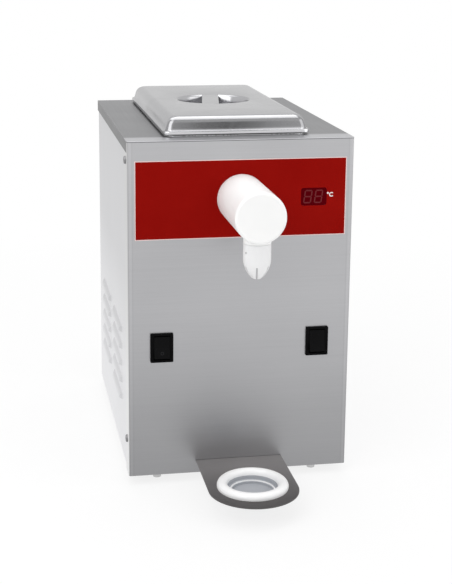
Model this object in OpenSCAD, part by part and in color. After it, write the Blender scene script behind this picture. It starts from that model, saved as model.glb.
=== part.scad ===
// Counter-top cream whipping machine: a stainless casing with a cooled cream tank,
// a gear pump, a whipping tube with a white outlet head, and a drip tray in front.
// Millimetres. +Z is up, the front faces -Y, and the feet stand on z = 0.

/* [Casing] */
// Width over the front panel and the top plate's lips
body_w = 245; // [225:1:280]
// Height of the casing above its bottom edge
body_h = 372; // [350:1:420]
// Thickness of the casing sheets
sheet_t = 1.2; // [0.8:0.1:1.6]
// Height of the top plate's turned-down lips
lip_h = 12.5; // [9:0.5:16]
// Depth of the front panel's side returns
return_d = 25; // [20:1:35]
// Height of the base plate's upturned edges
base_edge_h = 9; // [6:0.5:10]
// Width of the side panels' rear flanges
flange_w = 14; // [12:1:20]
// Standing height of the feet
foot_h = 11; // [8:0.5:25]
// Diameter of the feet
foot_d = 9; // [8:0.5:16]
// Diameter of the studs on the feet
foot_stud_d = 4; // [3:0.5:6]
// Length of the studs on the feet
foot_stud_l = 5; // [3:0.5:8]
// Distance of the feet from the casing's sides
foot_side = 34; // [24:1:45]
// Distance of the feet from the casing's front and back
foot_end = 22; // [12:1:30]

/* [Casing screws] */
// Shank diameter of the casing screws
screw_d = 4; // [3:0.5:5]
// Head diameter of the casing screws
screw_head_d = 8.5; // [7:0.5:10]
// Head height of the casing screws
screw_head_h = 2; // [1.5:0.1:3]
// Shank length of the casing screws
screw_l = 7; // [5:0.5:10]
// Distance of the side screws behind the front face
side_screw_in = 12; // [9:0.5:14]
// Drop of the upper screws below the top
screw_drop = 21; // [19:0.5:26]
// Rise of the lower screws above the casing's bottom edge
screw_rise = 40; // [25:1:48]

/* [Louvres] */
// Length of one louvre
louvre_l = 90; // [60:1:100]
// Length of a louvre's sloping end
louvre_end = 9; // [5:0.5:14]
// Louvres in a column
louvre_rows = 5; // [3:1:6]
// Height from one louvre to the next
louvre_pitch = 20; // [14:0.5:22]
// Gap between the two columns
louvre_gap = 36; // [12:1:50]
// Distance of the louvres' middle behind the front face
louvre_y = 177; // [170:1:190]
// Height of the lowest louvre above the casing's bottom edge
louvre_rise = 64; // [50:1:70]
// How far a louvre's hood stands out of the panel
louvre_out = 4; // [2:0.5:5]
// Radius of a louvre's hood
louvre_r = 9; // [7:0.5:10]

/* [Label and display] */
// Width of the front label
label_w = 229; // [210:1:240]
// Height of the front label
label_h = 85; // [75:1:95]
// Drop of the label's top edge below the casing's top
label_drop = 21; // [15:0.5:26]
// Thickness of the label
label_t = 0.4; // [0.2:0.1:0.8]
// Width of the display window
window_w = 28; // [24:0.5:34]
// Height of the display window
window_h = 19; // [16:0.5:24]
// Distance of the display window from the casing's side
window_side = 43.5; // [34:0.5:56]
// Corner radius of the display window
window_r = 2.5; // [1:0.5:4]
// Width of the window's rim behind the panel
window_rim = 4; // [2:0.5:6]
// Thickness of the window's rim
window_rim_t = 1.5; // [1:0.1:3]
// Depth of the display digits behind the window
digits_t = 7; // [5:0.5:10]
// Thickness of the circuit boards
board_t = 1.6; // [1:0.1:2.4]

/* [Switches] */
// Width of a switch bezel
bezel_w = 25; // [23:0.5:30]
// Height of a switch bezel
bezel_h = 32.5; // [31:0.5:38]
// Thickness of a switch bezel
bezel_t = 2; // [1.5:0.1:3]
// Corner radius of a switch bezel
bezel_r = 1.2; // [0.8:0.1:1.5]
// How far a bezel overlaps the panel around its cut-out
bezel_lap = 1.6; // [1:0.1:2]
// Depth of a switch body behind the panel
switch_depth = 20; // [16:1:30]
// Distance of the switches from the casing's sides
switch_side = 36.5; // [28:0.5:60]
// Height of the switches above the casing's bottom edge
switch_rise = 146.5; // [90:0.5:190]
// Width of a rocker
rocker_w = 17; // [14:0.5:18]
// Height of a rocker
rocker_h = 24; // [20:0.5:25]
// Tilt of a rocker to each side
rocker_tilt = 8; // [5:1:10]
// How far a level rocker stands out of its bezel
rocker_out = 2.2; // [1.5:0.1:3]
// Diameter of a rocker's pin
rocker_pin_d = 3; // [2:0.5:3.5]

/* [Lid] */
// Width of the lid
lid_w = 160; // [140:1:170]
// Length of the lid
lid_l = 305; // [280:1:330]
// Distance of the lid behind the front face
lid_front = 26; // [20:1:40]
// Distance of the lid in front of the casing's back
lid_back = 14; // [12:1:30]
// Height of the lid
lid_h = 18.5; // [17:0.5:26]
// Thickness of the lid's sheet
lid_t = 1; // [0.8:0.1:1.5]
// Corner radius of the lid
lid_r = 15; // [13:1:22]
// Width of the lid's flat rim
rim_w = 3.5; // [3:0.5:7]
// Height of the lid's rim
rim_h = 3; // [2:0.5:4]
// How far the lid's flanks lean in
flank_in = 4; // [3:0.5:8]
// Radius of the lid's upper edge
shoulder_r = 7; // [4:0.5:9]
// Diameter of the finger recess
recess_d = 84; // [70:1:95]
// Depth of the finger recess
recess_h = 13; // [11:0.5:15]
// Width of the strap over the finger recess
strap_w = 19; // [10:0.5:22]
// Thickness of the strap
strap_t = 1.5; // [1:0.1:2]
// Thickness of the lid's gasket
gasket_t = 1.4; // [1:0.1:2.5]
// Width of the lid's gasket
gasket_w = 2.5; // [2:0.5:4]

/* [Tank] */
// Distance of the tank's outside from the lid's edge
tank_in = 12; // [11:0.5:15]
// Depth of the tank below the top
tank_depth = 112; // [104:1:130]
// Thickness of the tank's sheet
tank_t = 1; // [0.8:0.1:1.5]
// Corner radius of the tank
tank_r = 18; // [14:1:25]
// Distance of the tank's rim from the lid's edge
tank_rim_in = 2; // [1:0.5:2.5]
// Thickness of the foam around the tank
foam_side = 10; // [8:0.5:11]
// Thickness of the foam under the tank
foam_t = 35; // [33:1:45]
// Thickness of the shelf under the foam
shelf_t = 1.5; // [1:0.1:2.5]
// Height of the shelf's turned-down edges
shelf_edge = 15; // [10:1:25]
// Distance of the shelf behind the front face
shelf_front = 20; // [10:1:22]

/* [Outlet] */
// Diameter of the outlet head
nozzle_d = 53; // [50:0.5:60]
// Reach of the outlet head in front of the front face
nozzle_reach = 102; // [95:1:115]
// Rounding of the outlet head's front edge
nozzle_round = 3; // [1:0.5:5]
// Thickness of the outlet head's front wall
nozzle_wall = 6; // [4:0.5:8]
// Diameter of the whipping tube
tube_d = 37.4; // [34:0.2:40]
// Bore of the whipping tube
tube_bore = 28; // [24:0.5:30]
// Reach of the whipping tube in front of the front face
tube_out = 58; // [50:1:62]
// Reach of the whipping tube into the tank
tube_in = 10; // [6:0.5:11]
// Thickness of the whipping tube's rear wall
tube_end_t = 3; // [2:0.5:5]
// Diameter of the spout
spout_d = 28.4; // [26:0.2:31]
// Distance of the spout's axis behind the outlet head's front
spout_back = 18.5; // [17:0.5:22]
// Length of the collar under the outlet head
collar_l = 2; // [1.5:0.5:16]
// Diameter of the spigot that the star tip fits on
spigot_d = 22; // [19:0.5:23]
// Length of that spigot
spigot_l = 9; // [6:0.5:9]
// Bore from the outlet head to the star tip
outlet_bore = 14; // [10:0.5:16]
// Length of the star tip
tip_l = 36.5; // [27:0.5:42]
// Length of the star tip's straight part
tip_straight = 15.5; // [9:0.5:22]
// Diameter of the star tip's lower end
tip_end_d = 10; // [9:0.5:14]
// Wall of the star tip's lower end
tip_wall = 2; // [1.5:0.1:2.5]
// Slits around the star tip
slit_n = 6; // [4:1:8]
// Turn of the slits about the star tip's axis
slit_turn = 18; // [0:1:45]
// Width of a slit
slit_w = 1.6; // [1:0.1:2]
// Diameter of the labyrinth core
core_d = 10; // [8:0.5:14]
// Discs on the labyrinth core
disc_n = 10; // [6:1:12]
// Thickness of a disc
disc_t = 2; // [1.5:0.1:3]
// Thickness of the o-ring
ring_d = 1.6; // [1.2:0.1:2]
// Distance of the o-ring in front of the front face
ring_out = 15; // [10:1:30]

/* [Drip tray] */
// Width of the drip tray
tray_w = 96; // [92:1:110]
// Height of the drip tray above the casing's bottom edge
tray_rise = 13; // [12.5:0.5:16]
// Thickness of the drip tray
tray_t = 1.5; // [1:0.1:2.5]
// Length of the drip tray inside the casing
tray_in = 55; // [40:1:62]
// Width of the rails under the drip tray
rail_w = 10; // [8:0.5:14]
// How far a rail grips over the drip tray
rail_grip = 5; // [3:0.5:6]
// Diameter of the drip cup over its rim
cup_d = 76; // [72:1:80]
// Distance of the drip cup's axis behind the spout's axis
cup_back = 5; // [0:0.5:6]
// Radius of the drip cup's round rim
cup_rim_r = 5.6; // [5:0.1:6.5]
// Height of the drip cup's rim above the tray
cup_rise = 7; // [6.5:0.5:9]
// Depth of the drip cup below the tray's top
cup_drop = 9; // [8:0.5:12]
// Wall of the drip cup
cup_wall = 2; // [1.5:0.1:3]
// Width of the ledge inside the drip cup
cup_ledge = 4; // [2:0.5:6]

/* [Pump] */
// Teeth of each pump gear
gear_teeth = 12; // [10:1:16]
// Module of the pump gears
gear_m = 2; // [1.5:0.1:2.2]
// Thickness of the pump gears
gear_t = 12; // [8:0.5:14]
// Diameter of the drive shaft
shaft_d = 8; // [6:0.5:9]
// Diameter of the idler gear's pin
idler_pin_d = 6; // [5:0.5:8]
// Wall of the pump body around its gears
pump_wall = 5.7; // [5:0.1:8]
// Floor of the pump body
pump_floor = 6; // [5:0.5:8]
// Thickness of the pump's cover
cover_t = 5; // [3:0.5:7]
// Distance of the pump behind the tank's front wall
pump_gap = 14; // [12:0.5:25]
// Diameter of the pump's ports
port_d = 8; // [6:0.5:9]
// Outside diameter of the outlet elbow and the air valve
elbow_d = 14; // [12:0.5:15]
// Shank diameter of the pump's screws
pump_screw_d = 4; // [3:0.5:4]
// Height of the air valve
valve_h = 14; // [10:0.5:20]
// Diameter of the air screw's stem
valve_stem_d = 6; // [5:0.5:8]
// Diameter of the air screw's knob
valve_knob_d = 16; // [12:0.5:18]
// Height of the air screw's knob
valve_knob_h = 9; // [6:0.5:12]
// Diameter of the suction strainer
strainer_d = 15; // [13:0.5:16]
// Length of the suction strainer
strainer_l = 9; // [7:0.5:14]
// Diameter of the shaft seal
seal_d = 20; // [16:0.5:21]
// Length of the shaft seal below the tank
seal_l = 6; // [4:0.5:7]
// Diameter of the shaft coupling
coupling_d = 18; // [15:0.5:20]
// Length of the shaft coupling
coupling_l = 22; // [18:1:24]
// Diameter of the pump motor
motor_d = 76; // [65:1:80]
// Height of the pump motor
motor_h = 80; // [60:1:90]
// Thickness of the pump motor's flange
motor_flange_t = 5; // [4:0.5:8]
// Shank diameter of the motor's bolts
motor_bolt_d = 5; // [4:0.5:6]

/* [Cooling] */
// Diameter of the refrigerant pipes
pipe_d = 6; // [5:0.5:7]
// Distance between the evaporator's runs
evap_pitch = 20; // [16:0.5:22]
// Distance of the evaporator's turns behind the shaft seal
evap_gap = 19; // [8:1:30]
// Distance of the evaporator's ends from the tank's back
evap_back = 24; // [18:1:40]
// Diameter of the temperature probe
probe_d = 5; // [4:0.5:6]
// Length of the temperature probe
probe_l = 40; // [25:1:60]
// Diameter of the compressor's can
can_d = 108; // [95:1:112]
// Height of the compressor's can
can_h = 118; // [100:1:128]
// Rounding of the compressor's can
can_r = 16; // [10:1:17]
// Thickness of the compressor's base
can_base_t = 2.5; // [2:0.5:4]
// Height of the compressor's rubber grommets
grommet_h = 12; // [8:0.5:16]
// Diameter of the compressor's rubber grommets
grommet_d = 18; // [16:0.5:20]
// Shank diameter of the compressor's bolts
can_bolt_d = 6; // [5:0.5:8]
// Diameter of the cooling fan
fan_d = 96; // [80:1:104]
// Blades of the cooling fan
fan_blades = 5; // [4:1:7]
// Pitch angle of the fan's blades
fan_pitch = 32; // [20:1:40]
// Depth of the fan's ring
fan_ring_l = 22; // [18:1:28]
// Diameter of the fan's motor
fan_motor_d = 36; // [30:1:40]
// Length of the fan's motor
fan_motor_l = 28; // [20:1:32]
// Diameter of the fan's shaft
fan_shaft_d = 4; // [3:0.5:5]
// Length of the condenser
condenser_l = 130; // [120:1:140]
// Thickness of the condenser
condenser_t = 22; // [18:1:26]
// Fins of the condenser
fin_n = 17; // [9:1:25]
// Thickness of a fin
fin_t = 0.6; // [0.4:0.1:1]
// Distance of the condenser's tubes from the pipes behind them
condenser_gap = 52; // [45:1:70]
// Reach of the condenser's tubes past its fins
tube_past = 8; // [6:0.5:12]
// Distance of the condenser's outer tubes from its top and bottom
tube_edge = 14; // [11:0.5:18]
// Distance of the condenser from the side panel
condenser_side = 5; // [3:0.5:7]
// Diameter of the filter dryer
dryer_d = 18; // [14:0.5:22]
// Length of the filter dryer
dryer_l = 84; // [60:1:95]

/* [Electrics] */
// Length of the control board
control_l = 100; // [80:1:120]
// Height of the control board
control_h = 64; // [50:1:75]
// Distance of the control board from the side panel
control_off = 10; // [6:0.5:12]
// Distance of the control board behind the front face
control_front = 40; // [32:1:60]
// Height of the control board above the casing's bottom edge
control_rise = 45; // [35:1:60]
// Diameter of the cord bush outside the rear panel
bush_d = 20; // [18:0.5:26]
// Reach of the cord bush behind the rear panel's lip
bush_out = 11; // [8:0.5:20]
// Diameter of the cord bush's neck
bush_neck_d = 15; // [13:0.5:17]
// Bore of the cord bush
bush_bore = 8; // [6:0.5:9]
// Distance of the cord bush from the casing's side
bush_side = 47.5; // [35:0.5:65]
// Height of the cord bush above the casing's bottom edge
bush_rise = 40; // [30:1:60]

/* [Fits] */
// Gap between pieces that slide past each other
clear = 0.3; // [0.2:0.05:0.5]
// Gap around a turning shaft
run_fit = 0.05; // [0.02:0.01:0.1]
// Gap around screws and fixed round pieces
hole_gap = 0.15; // [0.1:0.05:0.3]

/* [Hidden] */
$fn = 48;
// overlap of a cut past a face
cut = 1;

body_d = lid_front + lid_l + lid_back;
cup_out = nozzle_reach - spout_back;
tray_reach = cup_out + tray_w / 2;

// The overall box is centred on the origin
front_y = (tray_reach - body_d - bush_out) / 2;
back_y = front_y + body_d;
base_z = foot_h;
top_z = base_z + body_h;
floor_z = base_z + sheet_t;
side_out = body_w / 2 - sheet_t;
slot_l = louvre_l - 2 * sheet_t * sqrt(1 + pow(louvre_end / louvre_out, 2));
side_in = side_out - sheet_t;
rear_in = back_y - 2 * sheet_t;

screw_zs = [base_z + screw_rise, top_z - screw_drop];
screw_hole = screw_d + 2 * hole_gap;
rear_screw_x = side_in - flange_w / 2;
bush_x = body_w / 2 - bush_side;
// Outer radius of the casing's bends
bend_r = 2 * sheet_t;

outlet_z = top_z - label_drop - label_h / 2;
tank_y = front_y + lid_front + lid_l / 2;
tank_w = lid_w - 2 * tank_in;
tank_l = lid_l - 2 * tank_in;
tank_floor = top_z - tank_depth;
tank_under = tank_floor - tank_t;
tank_front = tank_y - tank_l / 2 + tank_t;
foam_under = tank_under - foam_t;
shelf_under = foam_under - shelf_t;
foam_w = tank_w + 2 * foam_side;
foam_l = tank_l + 2 * foam_side;
lid_z = top_z + tank_t + gasket_t;
// Outline of the lid's raised part from its rim up, as distances from its edge and heights
flank_lean = atan2(lid_h - 0.6 * shoulder_r, flank_in);
shoulder_turns = [1, 0.7, 0.35, 0];
lid_steps = concat([[rim_w, 0]], [for (turn = shoulder_turns) [
    hundredth(rim_w + flank_in + shoulder_r * (sin(flank_lean) - sin(turn * flank_lean))),
    hundredth(lid_h - shoulder_r * (1 - cos(turn * flank_lean)))]]);
form_r = flank_in + shoulder_r + 3;
key_h = 0.1;

gear_gap = gear_m * gear_teeth;
gear_pitch_r = gear_gap / 2;
gear_tip_r = gear_pitch_r + gear_m;
gear_root_r = gear_pitch_r - 1.3 * gear_m;
chamber_r = gear_tip_r + clear;
pump_w = gear_gap + 2 * chamber_r + 2 * pump_wall;
pump_l = 2 * chamber_r + 2 * pump_wall;
pump_y = tank_front + pump_gap + pump_l / 2;
pump_deck = tank_floor + pump_floor;
pump_top = pump_deck + gear_t + 2 * clear;
cover_top = pump_top + cover_t;
drive_x = -gear_gap / 2;
idler_x = gear_gap / 2;
port_off = 0.7 * gear_tip_r;
pump_screw_at = [pump_w / 2 - 5, pump_l / 2 - 5];
joint_z = tank_under - seal_l - coupling_l / 2 - 2;
shaft_hole = shaft_d + 2 * run_fit;
well_d = max(coupling_d, seal_d) + 4;
motor_flange_w = motor_d + 16;
motor_bolt_at = motor_flange_w / 2 - 8;

tube_back = tank_front + tube_in;
tube_l = tube_back - front_y + tube_out;
nozzle_bore = tube_d + 2 * clear;
nozzle_rear = front_y - label_t - clear;
spout_y = front_y - cup_out;
cup_y = spout_y + cup_back;
collar_z = outlet_z - nozzle_d / 2 - collar_l;
tip_top = collar_z - clear;
tip_bore = spigot_d + 2 * clear;

tray_z = base_z + tray_rise;
tray_top = tray_z + tray_t;
cup_rim_mid = cup_d / 2 - cup_rim_r;
cup_in_r = cup_rim_mid - cup_rim_r;
cup_out_r = cup_in_r + cup_wall;
cup_hole_d = 2 * (cup_out_r + 2 * clear);

evap_x = 2.5 * evap_pitch;
evap_end = tank_y + tank_l / 2 - evap_back;
evap_z = tank_under - pipe_d / 2 - hole_gap;
evap_turn = pump_y + seal_d / 2 + evap_gap + (evap_pitch + pipe_d) / 2;
evap_l = evap_end - evap_turn;

can_base_w = can_d + 24;
can_base_l = can_d - 14;
can_x = side_in - 4 - can_base_w / 2;
can_y = rear_in - 18 - can_d / 2;
can_z = floor_z + grommet_h;
can_top = can_z + can_base_t + can_h;
can_bolt_at = [can_base_w / 2 - 11, can_base_l / 2 - 11];
stub_h = 10;
stub_x = can_x - can_d / 5.4;

condenser_h = fan_d + 12;
condenser_x = -side_in + condenser_side;
condenser_y = evap_end - condenser_gap - tube_past - condenser_l;
condenser_in = condenser_x + condenser_t;
tube_rows = 6;
tube_pitch = (condenser_h - 2 * tube_edge) / (tube_rows - 1);
tube_end = condenser_y + condenser_l + tube_past;
tube_x = condenser_x + condenser_t / 2;
fan_y = condenser_y + condenser_l / 2;
fan_z = floor_z + condenser_h / 2;
guard_x = condenser_in + fan_ring_l;
guard_t = 2;
dryer_z = floor_z + 0.4 * dryer_l;

window_x = body_w / 2 - window_side;
window_hole_w = window_w + 2 * hole_gap;
window_hole_h = window_h + 2 * hole_gap;
board_y = front_y + sheet_t + window_rim_t + digits_t;
switch_x = body_w / 2 - switch_side;
switch_z = base_z + switch_rise;
switch_body_w = bezel_w - 2 * bezel_lap;
switch_body_h = bezel_h - 2 * bezel_lap;
pivot_y = front_y + 1.5;
rocker_tip = pivot_y - front_y + bezel_t + rocker_out;
pocket_h = 2 * norm([rocker_h / 2, rocker_tip]) + 2 * clear;
pocket_back = pivot_y + rocker_pin_d + rocker_h / 2 * sin(rocker_tilt) + 1;
pin_l = rocker_w + 2 * clear + 2.4;

steel = "lightsteelblue";
bright_steel = "silver";
copper = "peru";
white_plastic = "white";
black_plastic = "dimgray";

// A length rounded to a hundredth of a millimetre
function hundredth(x) = round(100 * x) / 100;

// A box from its low corner to its high corner
module span(low, high) {
    translate(low) cube(high - low);
}

// Round bars along each axis, starting at the origin
module rod_x(d, l) {
    rotate([0, 90, 0]) cylinder(d = d, h = l);
}
module rod_y(d, l) {
    rotate([-90, 0, 0]) cylinder(d = d, h = l);
}
module rod_z(d, l) {
    cylinder(d = d, h = l);
}

// A rectangle with round corners, centred
module round_rect(w, l, r) {
    square([w - 2 * r, l], center = true);
    square([w, l - 2 * r], center = true);
    for (sx = [-1, 1], sy = [-1, 1])
        translate([sx * (w / 2 - r), sy * (l / 2 - r)]) circle(r);
}

// A ring between two such rectangles, lying on z = 0
module rect_ring(w, l, r, wall, h) {
    linear_extrude(h) difference() {
        round_rect(w, l, r);
        round_rect(w - 2 * wall, l - 2 * wall, r - wall);
    }
}

// A rounded block on z = 0 whose sides lean in by a run over its height
module lean_block(w, l, r, run, h) {
    for (sx = [-1, 1], sy = [-1, 1])
        translate([sx * (w / 2 - r), sy * (l / 2 - r), 0]) cylinder(r1 = r, r2 = r - run, h = h);
    translate([r - w / 2, 0, 0]) rotate([90, 0, 90]) linear_extrude(w - 2 * r)
        polygon([[-l / 2, 0], [l / 2, 0], [l / 2 - run, h], [run - l / 2, h]]);
    translate([0, l / 2 - r, 0]) rotate([90, 0, 0]) linear_extrude(l - 2 * r)
        polygon([[-w / 2, 0], [w / 2, 0], [w / 2 - run, h], [run - w / 2, h]]);
}

// A screw with a domed head above z = 0 and its shank below
module dome_screw(d, head_d, head_h, l) {
    dome_r = (head_d * head_d / 4 + head_h * head_h) / (2 * head_h);
    intersection() {
        translate([0, 0, head_h - dome_r]) sphere(dome_r);
        rod_z(head_d, head_h);
    }
    translate([0, 0, -l]) rod_z(d, l + head_h / 2);
}

// A cap screw with a flat head above z = 0 and its shank below
module cap_screw(d, l) {
    difference() {
        rod_z(1.8 * d, d);
        translate([0, 0, d / 2]) cylinder(d = d, h = d, $fn = 6);
    }
    translate([0, 0, -l]) rod_z(d, l + d / 4);
}

// A pipe through three or more points, with a round bend at each corner
module pipe(points, d) {
    bend = 1.4 * d;
    last = len(points) - 1;
    for (i = [0 : last - 1]) {
        step = points[i + 1] - points[i];
        start = i == 0 ? 0 : bend;
        end = i == last - 1 ? 0 : bend;
        translate(points[i])
            rotate([0, acos(step.z / norm(step)), atan2(step.y, step.x)])
                translate([0, 0, start]) rod_z(d, norm(step) - start - end);
    }
    for (i = [1 : last - 1]) {
        u = (points[i] - points[i - 1]) / norm(points[i] - points[i - 1]);
        v = (points[i + 1] - points[i]) / norm(points[i + 1] - points[i]);
        n = cross(u, v);
        mid = points[i] + bend * (v - u);
        multmatrix([[-v.x, u.x, n.x, mid.x], [-v.y, u.y, n.y, mid.y], [-v.z, u.z, n.z, mid.z]])
            rotate_extrude(angle = 90) translate([bend, 0]) circle(d = d);
    }
}

// Both sides of the machine
module both_sides() {
    children();
    mirror([1, 0, 0]) children();
}

module base_plate() {
    end_y = rear_in;
    edge = base_z + base_edge_h;
    color(steel) difference() {
        span([-side_in, front_y + sheet_t, base_z], [side_in, end_y, edge]);
        span([-side_in + sheet_t, front_y + 2 * sheet_t, floor_z],
            [side_in - sheet_t, end_y - sheet_t, edge + cut]);
        at_feet() rod_z(foot_stud_d + 2 * hole_gap, foot_h + sheet_t + cut);
        at_can_bolts() rod_z(can_bolt_d + 2 * hole_gap, foot_h + sheet_t + cut);
    }
}

// The middles of the feet, on the floor
module at_feet() {
    for (sx = [-1, 1], y = [front_y + foot_end, back_y - foot_end])
        translate([sx * (body_w / 2 - foot_side), y, 0]) children();
}

// The axes of the compressor's bolts, on the floor
module at_can_bolts() {
    for (sx = [-1, 1], sy = [-1, 1])
        translate([can_x + sx * can_bolt_at.x, can_y + sy * can_bolt_at.y, 0]) children();
}

module feet() {
    color("silver") at_feet() {
        rod_z(foot_d, foot_h);
        rod_z(foot_stud_d, foot_h + foot_stud_l);
    }
}

module front_panel() {
    color(bright_steel) difference() {
        union() {
            span([bend_r - body_w / 2, front_y, base_z],
                [body_w / 2 - bend_r, front_y + sheet_t, top_z - sheet_t]);
            both_sides() {
                span([side_out, front_y + bend_r, base_z],
                    [body_w / 2, front_y + return_d, top_z - lip_h]);
                translate([body_w / 2 - bend_r, front_y + bend_r, base_z])
                    linear_extrude(top_z - sheet_t - base_z) quarter_bend();
            }
        }
        translate([0, front_y - cut, outlet_z])
            rod_y(tube_d + 2 * hole_gap, sheet_t + 2 * cut);
        translate([window_x, front_y - cut, outlet_z]) rotate([-90, 0, 0])
            linear_extrude(sheet_t + 2 * cut)
                round_rect(window_hole_w, window_hole_h, window_r + hole_gap);
        for (sx = [-1, 1])
            translate([sx * switch_x, front_y, switch_z])
                cut_through(switch_body_w + 2 * hole_gap, switch_body_h + 2 * hole_gap);
        translate([0, front_y, tray_z + tray_t / 2])
            cut_through(tray_w + 2 * clear, tray_t + 2 * clear);
        side_screw_holes();
    }
}

// Section of a bend between the front face and a return
module quarter_bend() {
    intersection() {
        difference() {
            circle(bend_r);
            circle(bend_r - sheet_t);
        }
        translate([0, -bend_r]) square(bend_r);
    }
}

// A rectangular hole through the front sheet
module cut_through(w, h) {
    translate([-w / 2, -cut, -h / 2]) cube([w, sheet_t + 2 * cut, h]);
}

module at_side_screws() {
    both_sides() for (z = screw_zs)
        translate([body_w / 2, front_y + side_screw_in, z]) rotate([0, 90, 0]) children();
}

module side_screw_holes() {
    at_side_screws() translate([0, 0, -screw_l - cut]) rod_z(screw_hole, screw_l + 2 * cut);
}

module at_rear_screws() {
    both_sides() for (z = screw_zs)
        translate([rear_screw_x, back_y - sheet_t, z]) rotate([-90, 0, 0]) children();
}

module rear_screw_holes() {
    at_rear_screws() translate([0, 0, -screw_l - cut]) rod_z(screw_hole, screw_l + 2 * cut);
}

// A round back between sloping ends, on a panel whose outside is x = 0
module louvre_form(r, half_l, past = 0) {
    lean = louvre_end / louvre_out;
    back = sheet_t + past;
    top = louvre_out + cut;
    low_l = half_l + back * lean;
    high_l = half_l - top * lean;
    intersection() {
        translate([louvre_out - louvre_r, -louvre_l, 0]) rod_y(2 * r, 2 * louvre_l);
        translate([0, 0, -past]) linear_extrude(louvre_r + past)
            polygon([[-back, -low_l], [top, -high_l], [top, high_l], [-back, low_l]]);
    }
}

// One pressed hood, open below
module louvre_hood() {
    difference() {
        louvre_form(louvre_r, louvre_l / 2);
        louvre_form(louvre_r - sheet_t, slot_l / 2, cut);
    }
}

// The slot behind a hood
module louvre_slot() {
    slot_h = sqrt(pow(louvre_r - sheet_t, 2) - pow(louvre_r - louvre_out, 2));
    span([-sheet_t - cut, -slot_l / 2, 0], [cut, slot_l / 2, slot_h]);
}

module at_louvres() {
    for (row = [0 : louvre_rows - 1], side = [-1, 1])
        translate([side_out, front_y + louvre_y + side * (louvre_l + louvre_gap) / 2,
            base_z + louvre_rise + row * louvre_pitch]) children();
}

// The side panel on the +X side
module side_panel() {
    difference() {
        union() {
            span([side_in, front_y + bend_r, base_z], [side_out, rear_in, top_z - sheet_t]);
            span([side_in - flange_w, rear_in - sheet_t, base_z + base_edge_h + cut],
                [side_out, rear_in, top_z - sheet_t]);
        }
        at_louvres() louvre_slot();
        side_screw_holes();
        rear_screw_holes();
    }
    at_louvres() louvre_hood();
}

module left_side_panel() {
    color("gainsboro") mirror([1, 0, 0]) side_panel();
}

module right_side_panel() {
    color("gainsboro") side_panel();
}

module rear_panel() {
    vent_l = 62;
    color(steel) difference() {
        span([-side_out, rear_in, base_z], [side_out, back_y - sheet_t, top_z - sheet_t]);
        for (row = [0 : 7], sx = [-1, 1])
            translate([sx * (vent_l / 2 + 8) - vent_l / 2, rear_in - cut,
                base_z + 90 + row * 11])
                cube([vent_l, sheet_t + 2 * cut, 4]);
        translate([-bush_x, rear_in - cut, base_z + bush_rise])
            rod_y(bush_neck_d + 2 * hole_gap, sheet_t + 2 * cut);
        rear_screw_holes();
    }
}

module top_plate() {
    color(bright_steel) difference() {
        span([-body_w / 2, front_y, top_z - lip_h], [body_w / 2, back_y, top_z]);
        span([-side_out, front_y - cut, top_z - lip_h - cut],
            [side_out, back_y - sheet_t, top_z - sheet_t]);
        span([-body_w, front_y - cut, top_z - lip_h - cut],
            [body_w, front_y + bend_r, top_z - sheet_t]);
        both_sides() translate([body_w / 2 - bend_r, front_y + bend_r, top_z - sheet_t - cut])
            linear_extrude(sheet_t + 2 * cut) difference() {
                translate([0, -bend_r - cut]) square(bend_r + cut);
                circle(bend_r);
            }
        translate([0, tank_y, top_z - sheet_t - cut]) linear_extrude(sheet_t + 2 * cut)
            round_rect(tank_w + 2 * clear, tank_l + 2 * clear, tank_r + clear);
    }
}

module side_screws() {
    color("silver") at_side_screws()
        dome_screw(screw_d, screw_head_d, screw_head_h, screw_l);
}

module rear_screws() {
    color("silver") at_rear_screws()
        dome_screw(screw_d, screw_head_d, screw_head_h, screw_l);
}

module front_label() {
    color("darkred") difference() {
        span([-label_w / 2, front_y - label_t, outlet_z - label_h / 2],
            [label_w / 2, front_y, outlet_z + label_h / 2]);
        translate([0, front_y - label_t - cut, outlet_z])
            rod_y(tube_d + 2 * hole_gap, label_t + 2 * cut);
        translate([window_x, front_y - label_t - cut, outlet_z]) rotate([-90, 0, 0])
            linear_extrude(label_t + 2 * cut)
                round_rect(window_hole_w, window_hole_h, window_r + hole_gap);
    }
}

module display_window() {
    rim_w = window_w + 2 * window_rim;
    rim_h = window_h + 2 * window_rim;
    color("maroon") translate([window_x, front_y, outlet_z]) {
        translate([0, -label_t, 0]) rotate([-90, 0, 0])
            linear_extrude(label_t + sheet_t + window_rim_t) round_rect(window_w, window_h, window_r);
        translate([-rim_w / 2, sheet_t, -rim_h / 2]) cube([rim_w, window_rim_t, rim_h]);
    }
}

module display_board() {
    board_w = window_w + 4 * window_rim;
    board_h = window_h + 4 * window_rim;
    post_d = 4;
    color("darkgreen") translate([window_x, board_y, outlet_z]) {
        translate([-board_w / 2, 0, -board_h / 2]) cube([board_w, board_t, board_h]);
        translate([-window_w / 2, -digits_t, -window_h / 2])
            cube([window_w, digits_t + board_t / 2, window_h]);
        for (sx = [-1, 1], sz = [-1, 1])
            translate([sx * (board_w - post_d) / 2, -digits_t - window_rim_t,
                sz * (board_h - post_d) / 2])
                rod_y(post_d, digits_t + window_rim_t + board_t / 2);
    }
}

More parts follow.
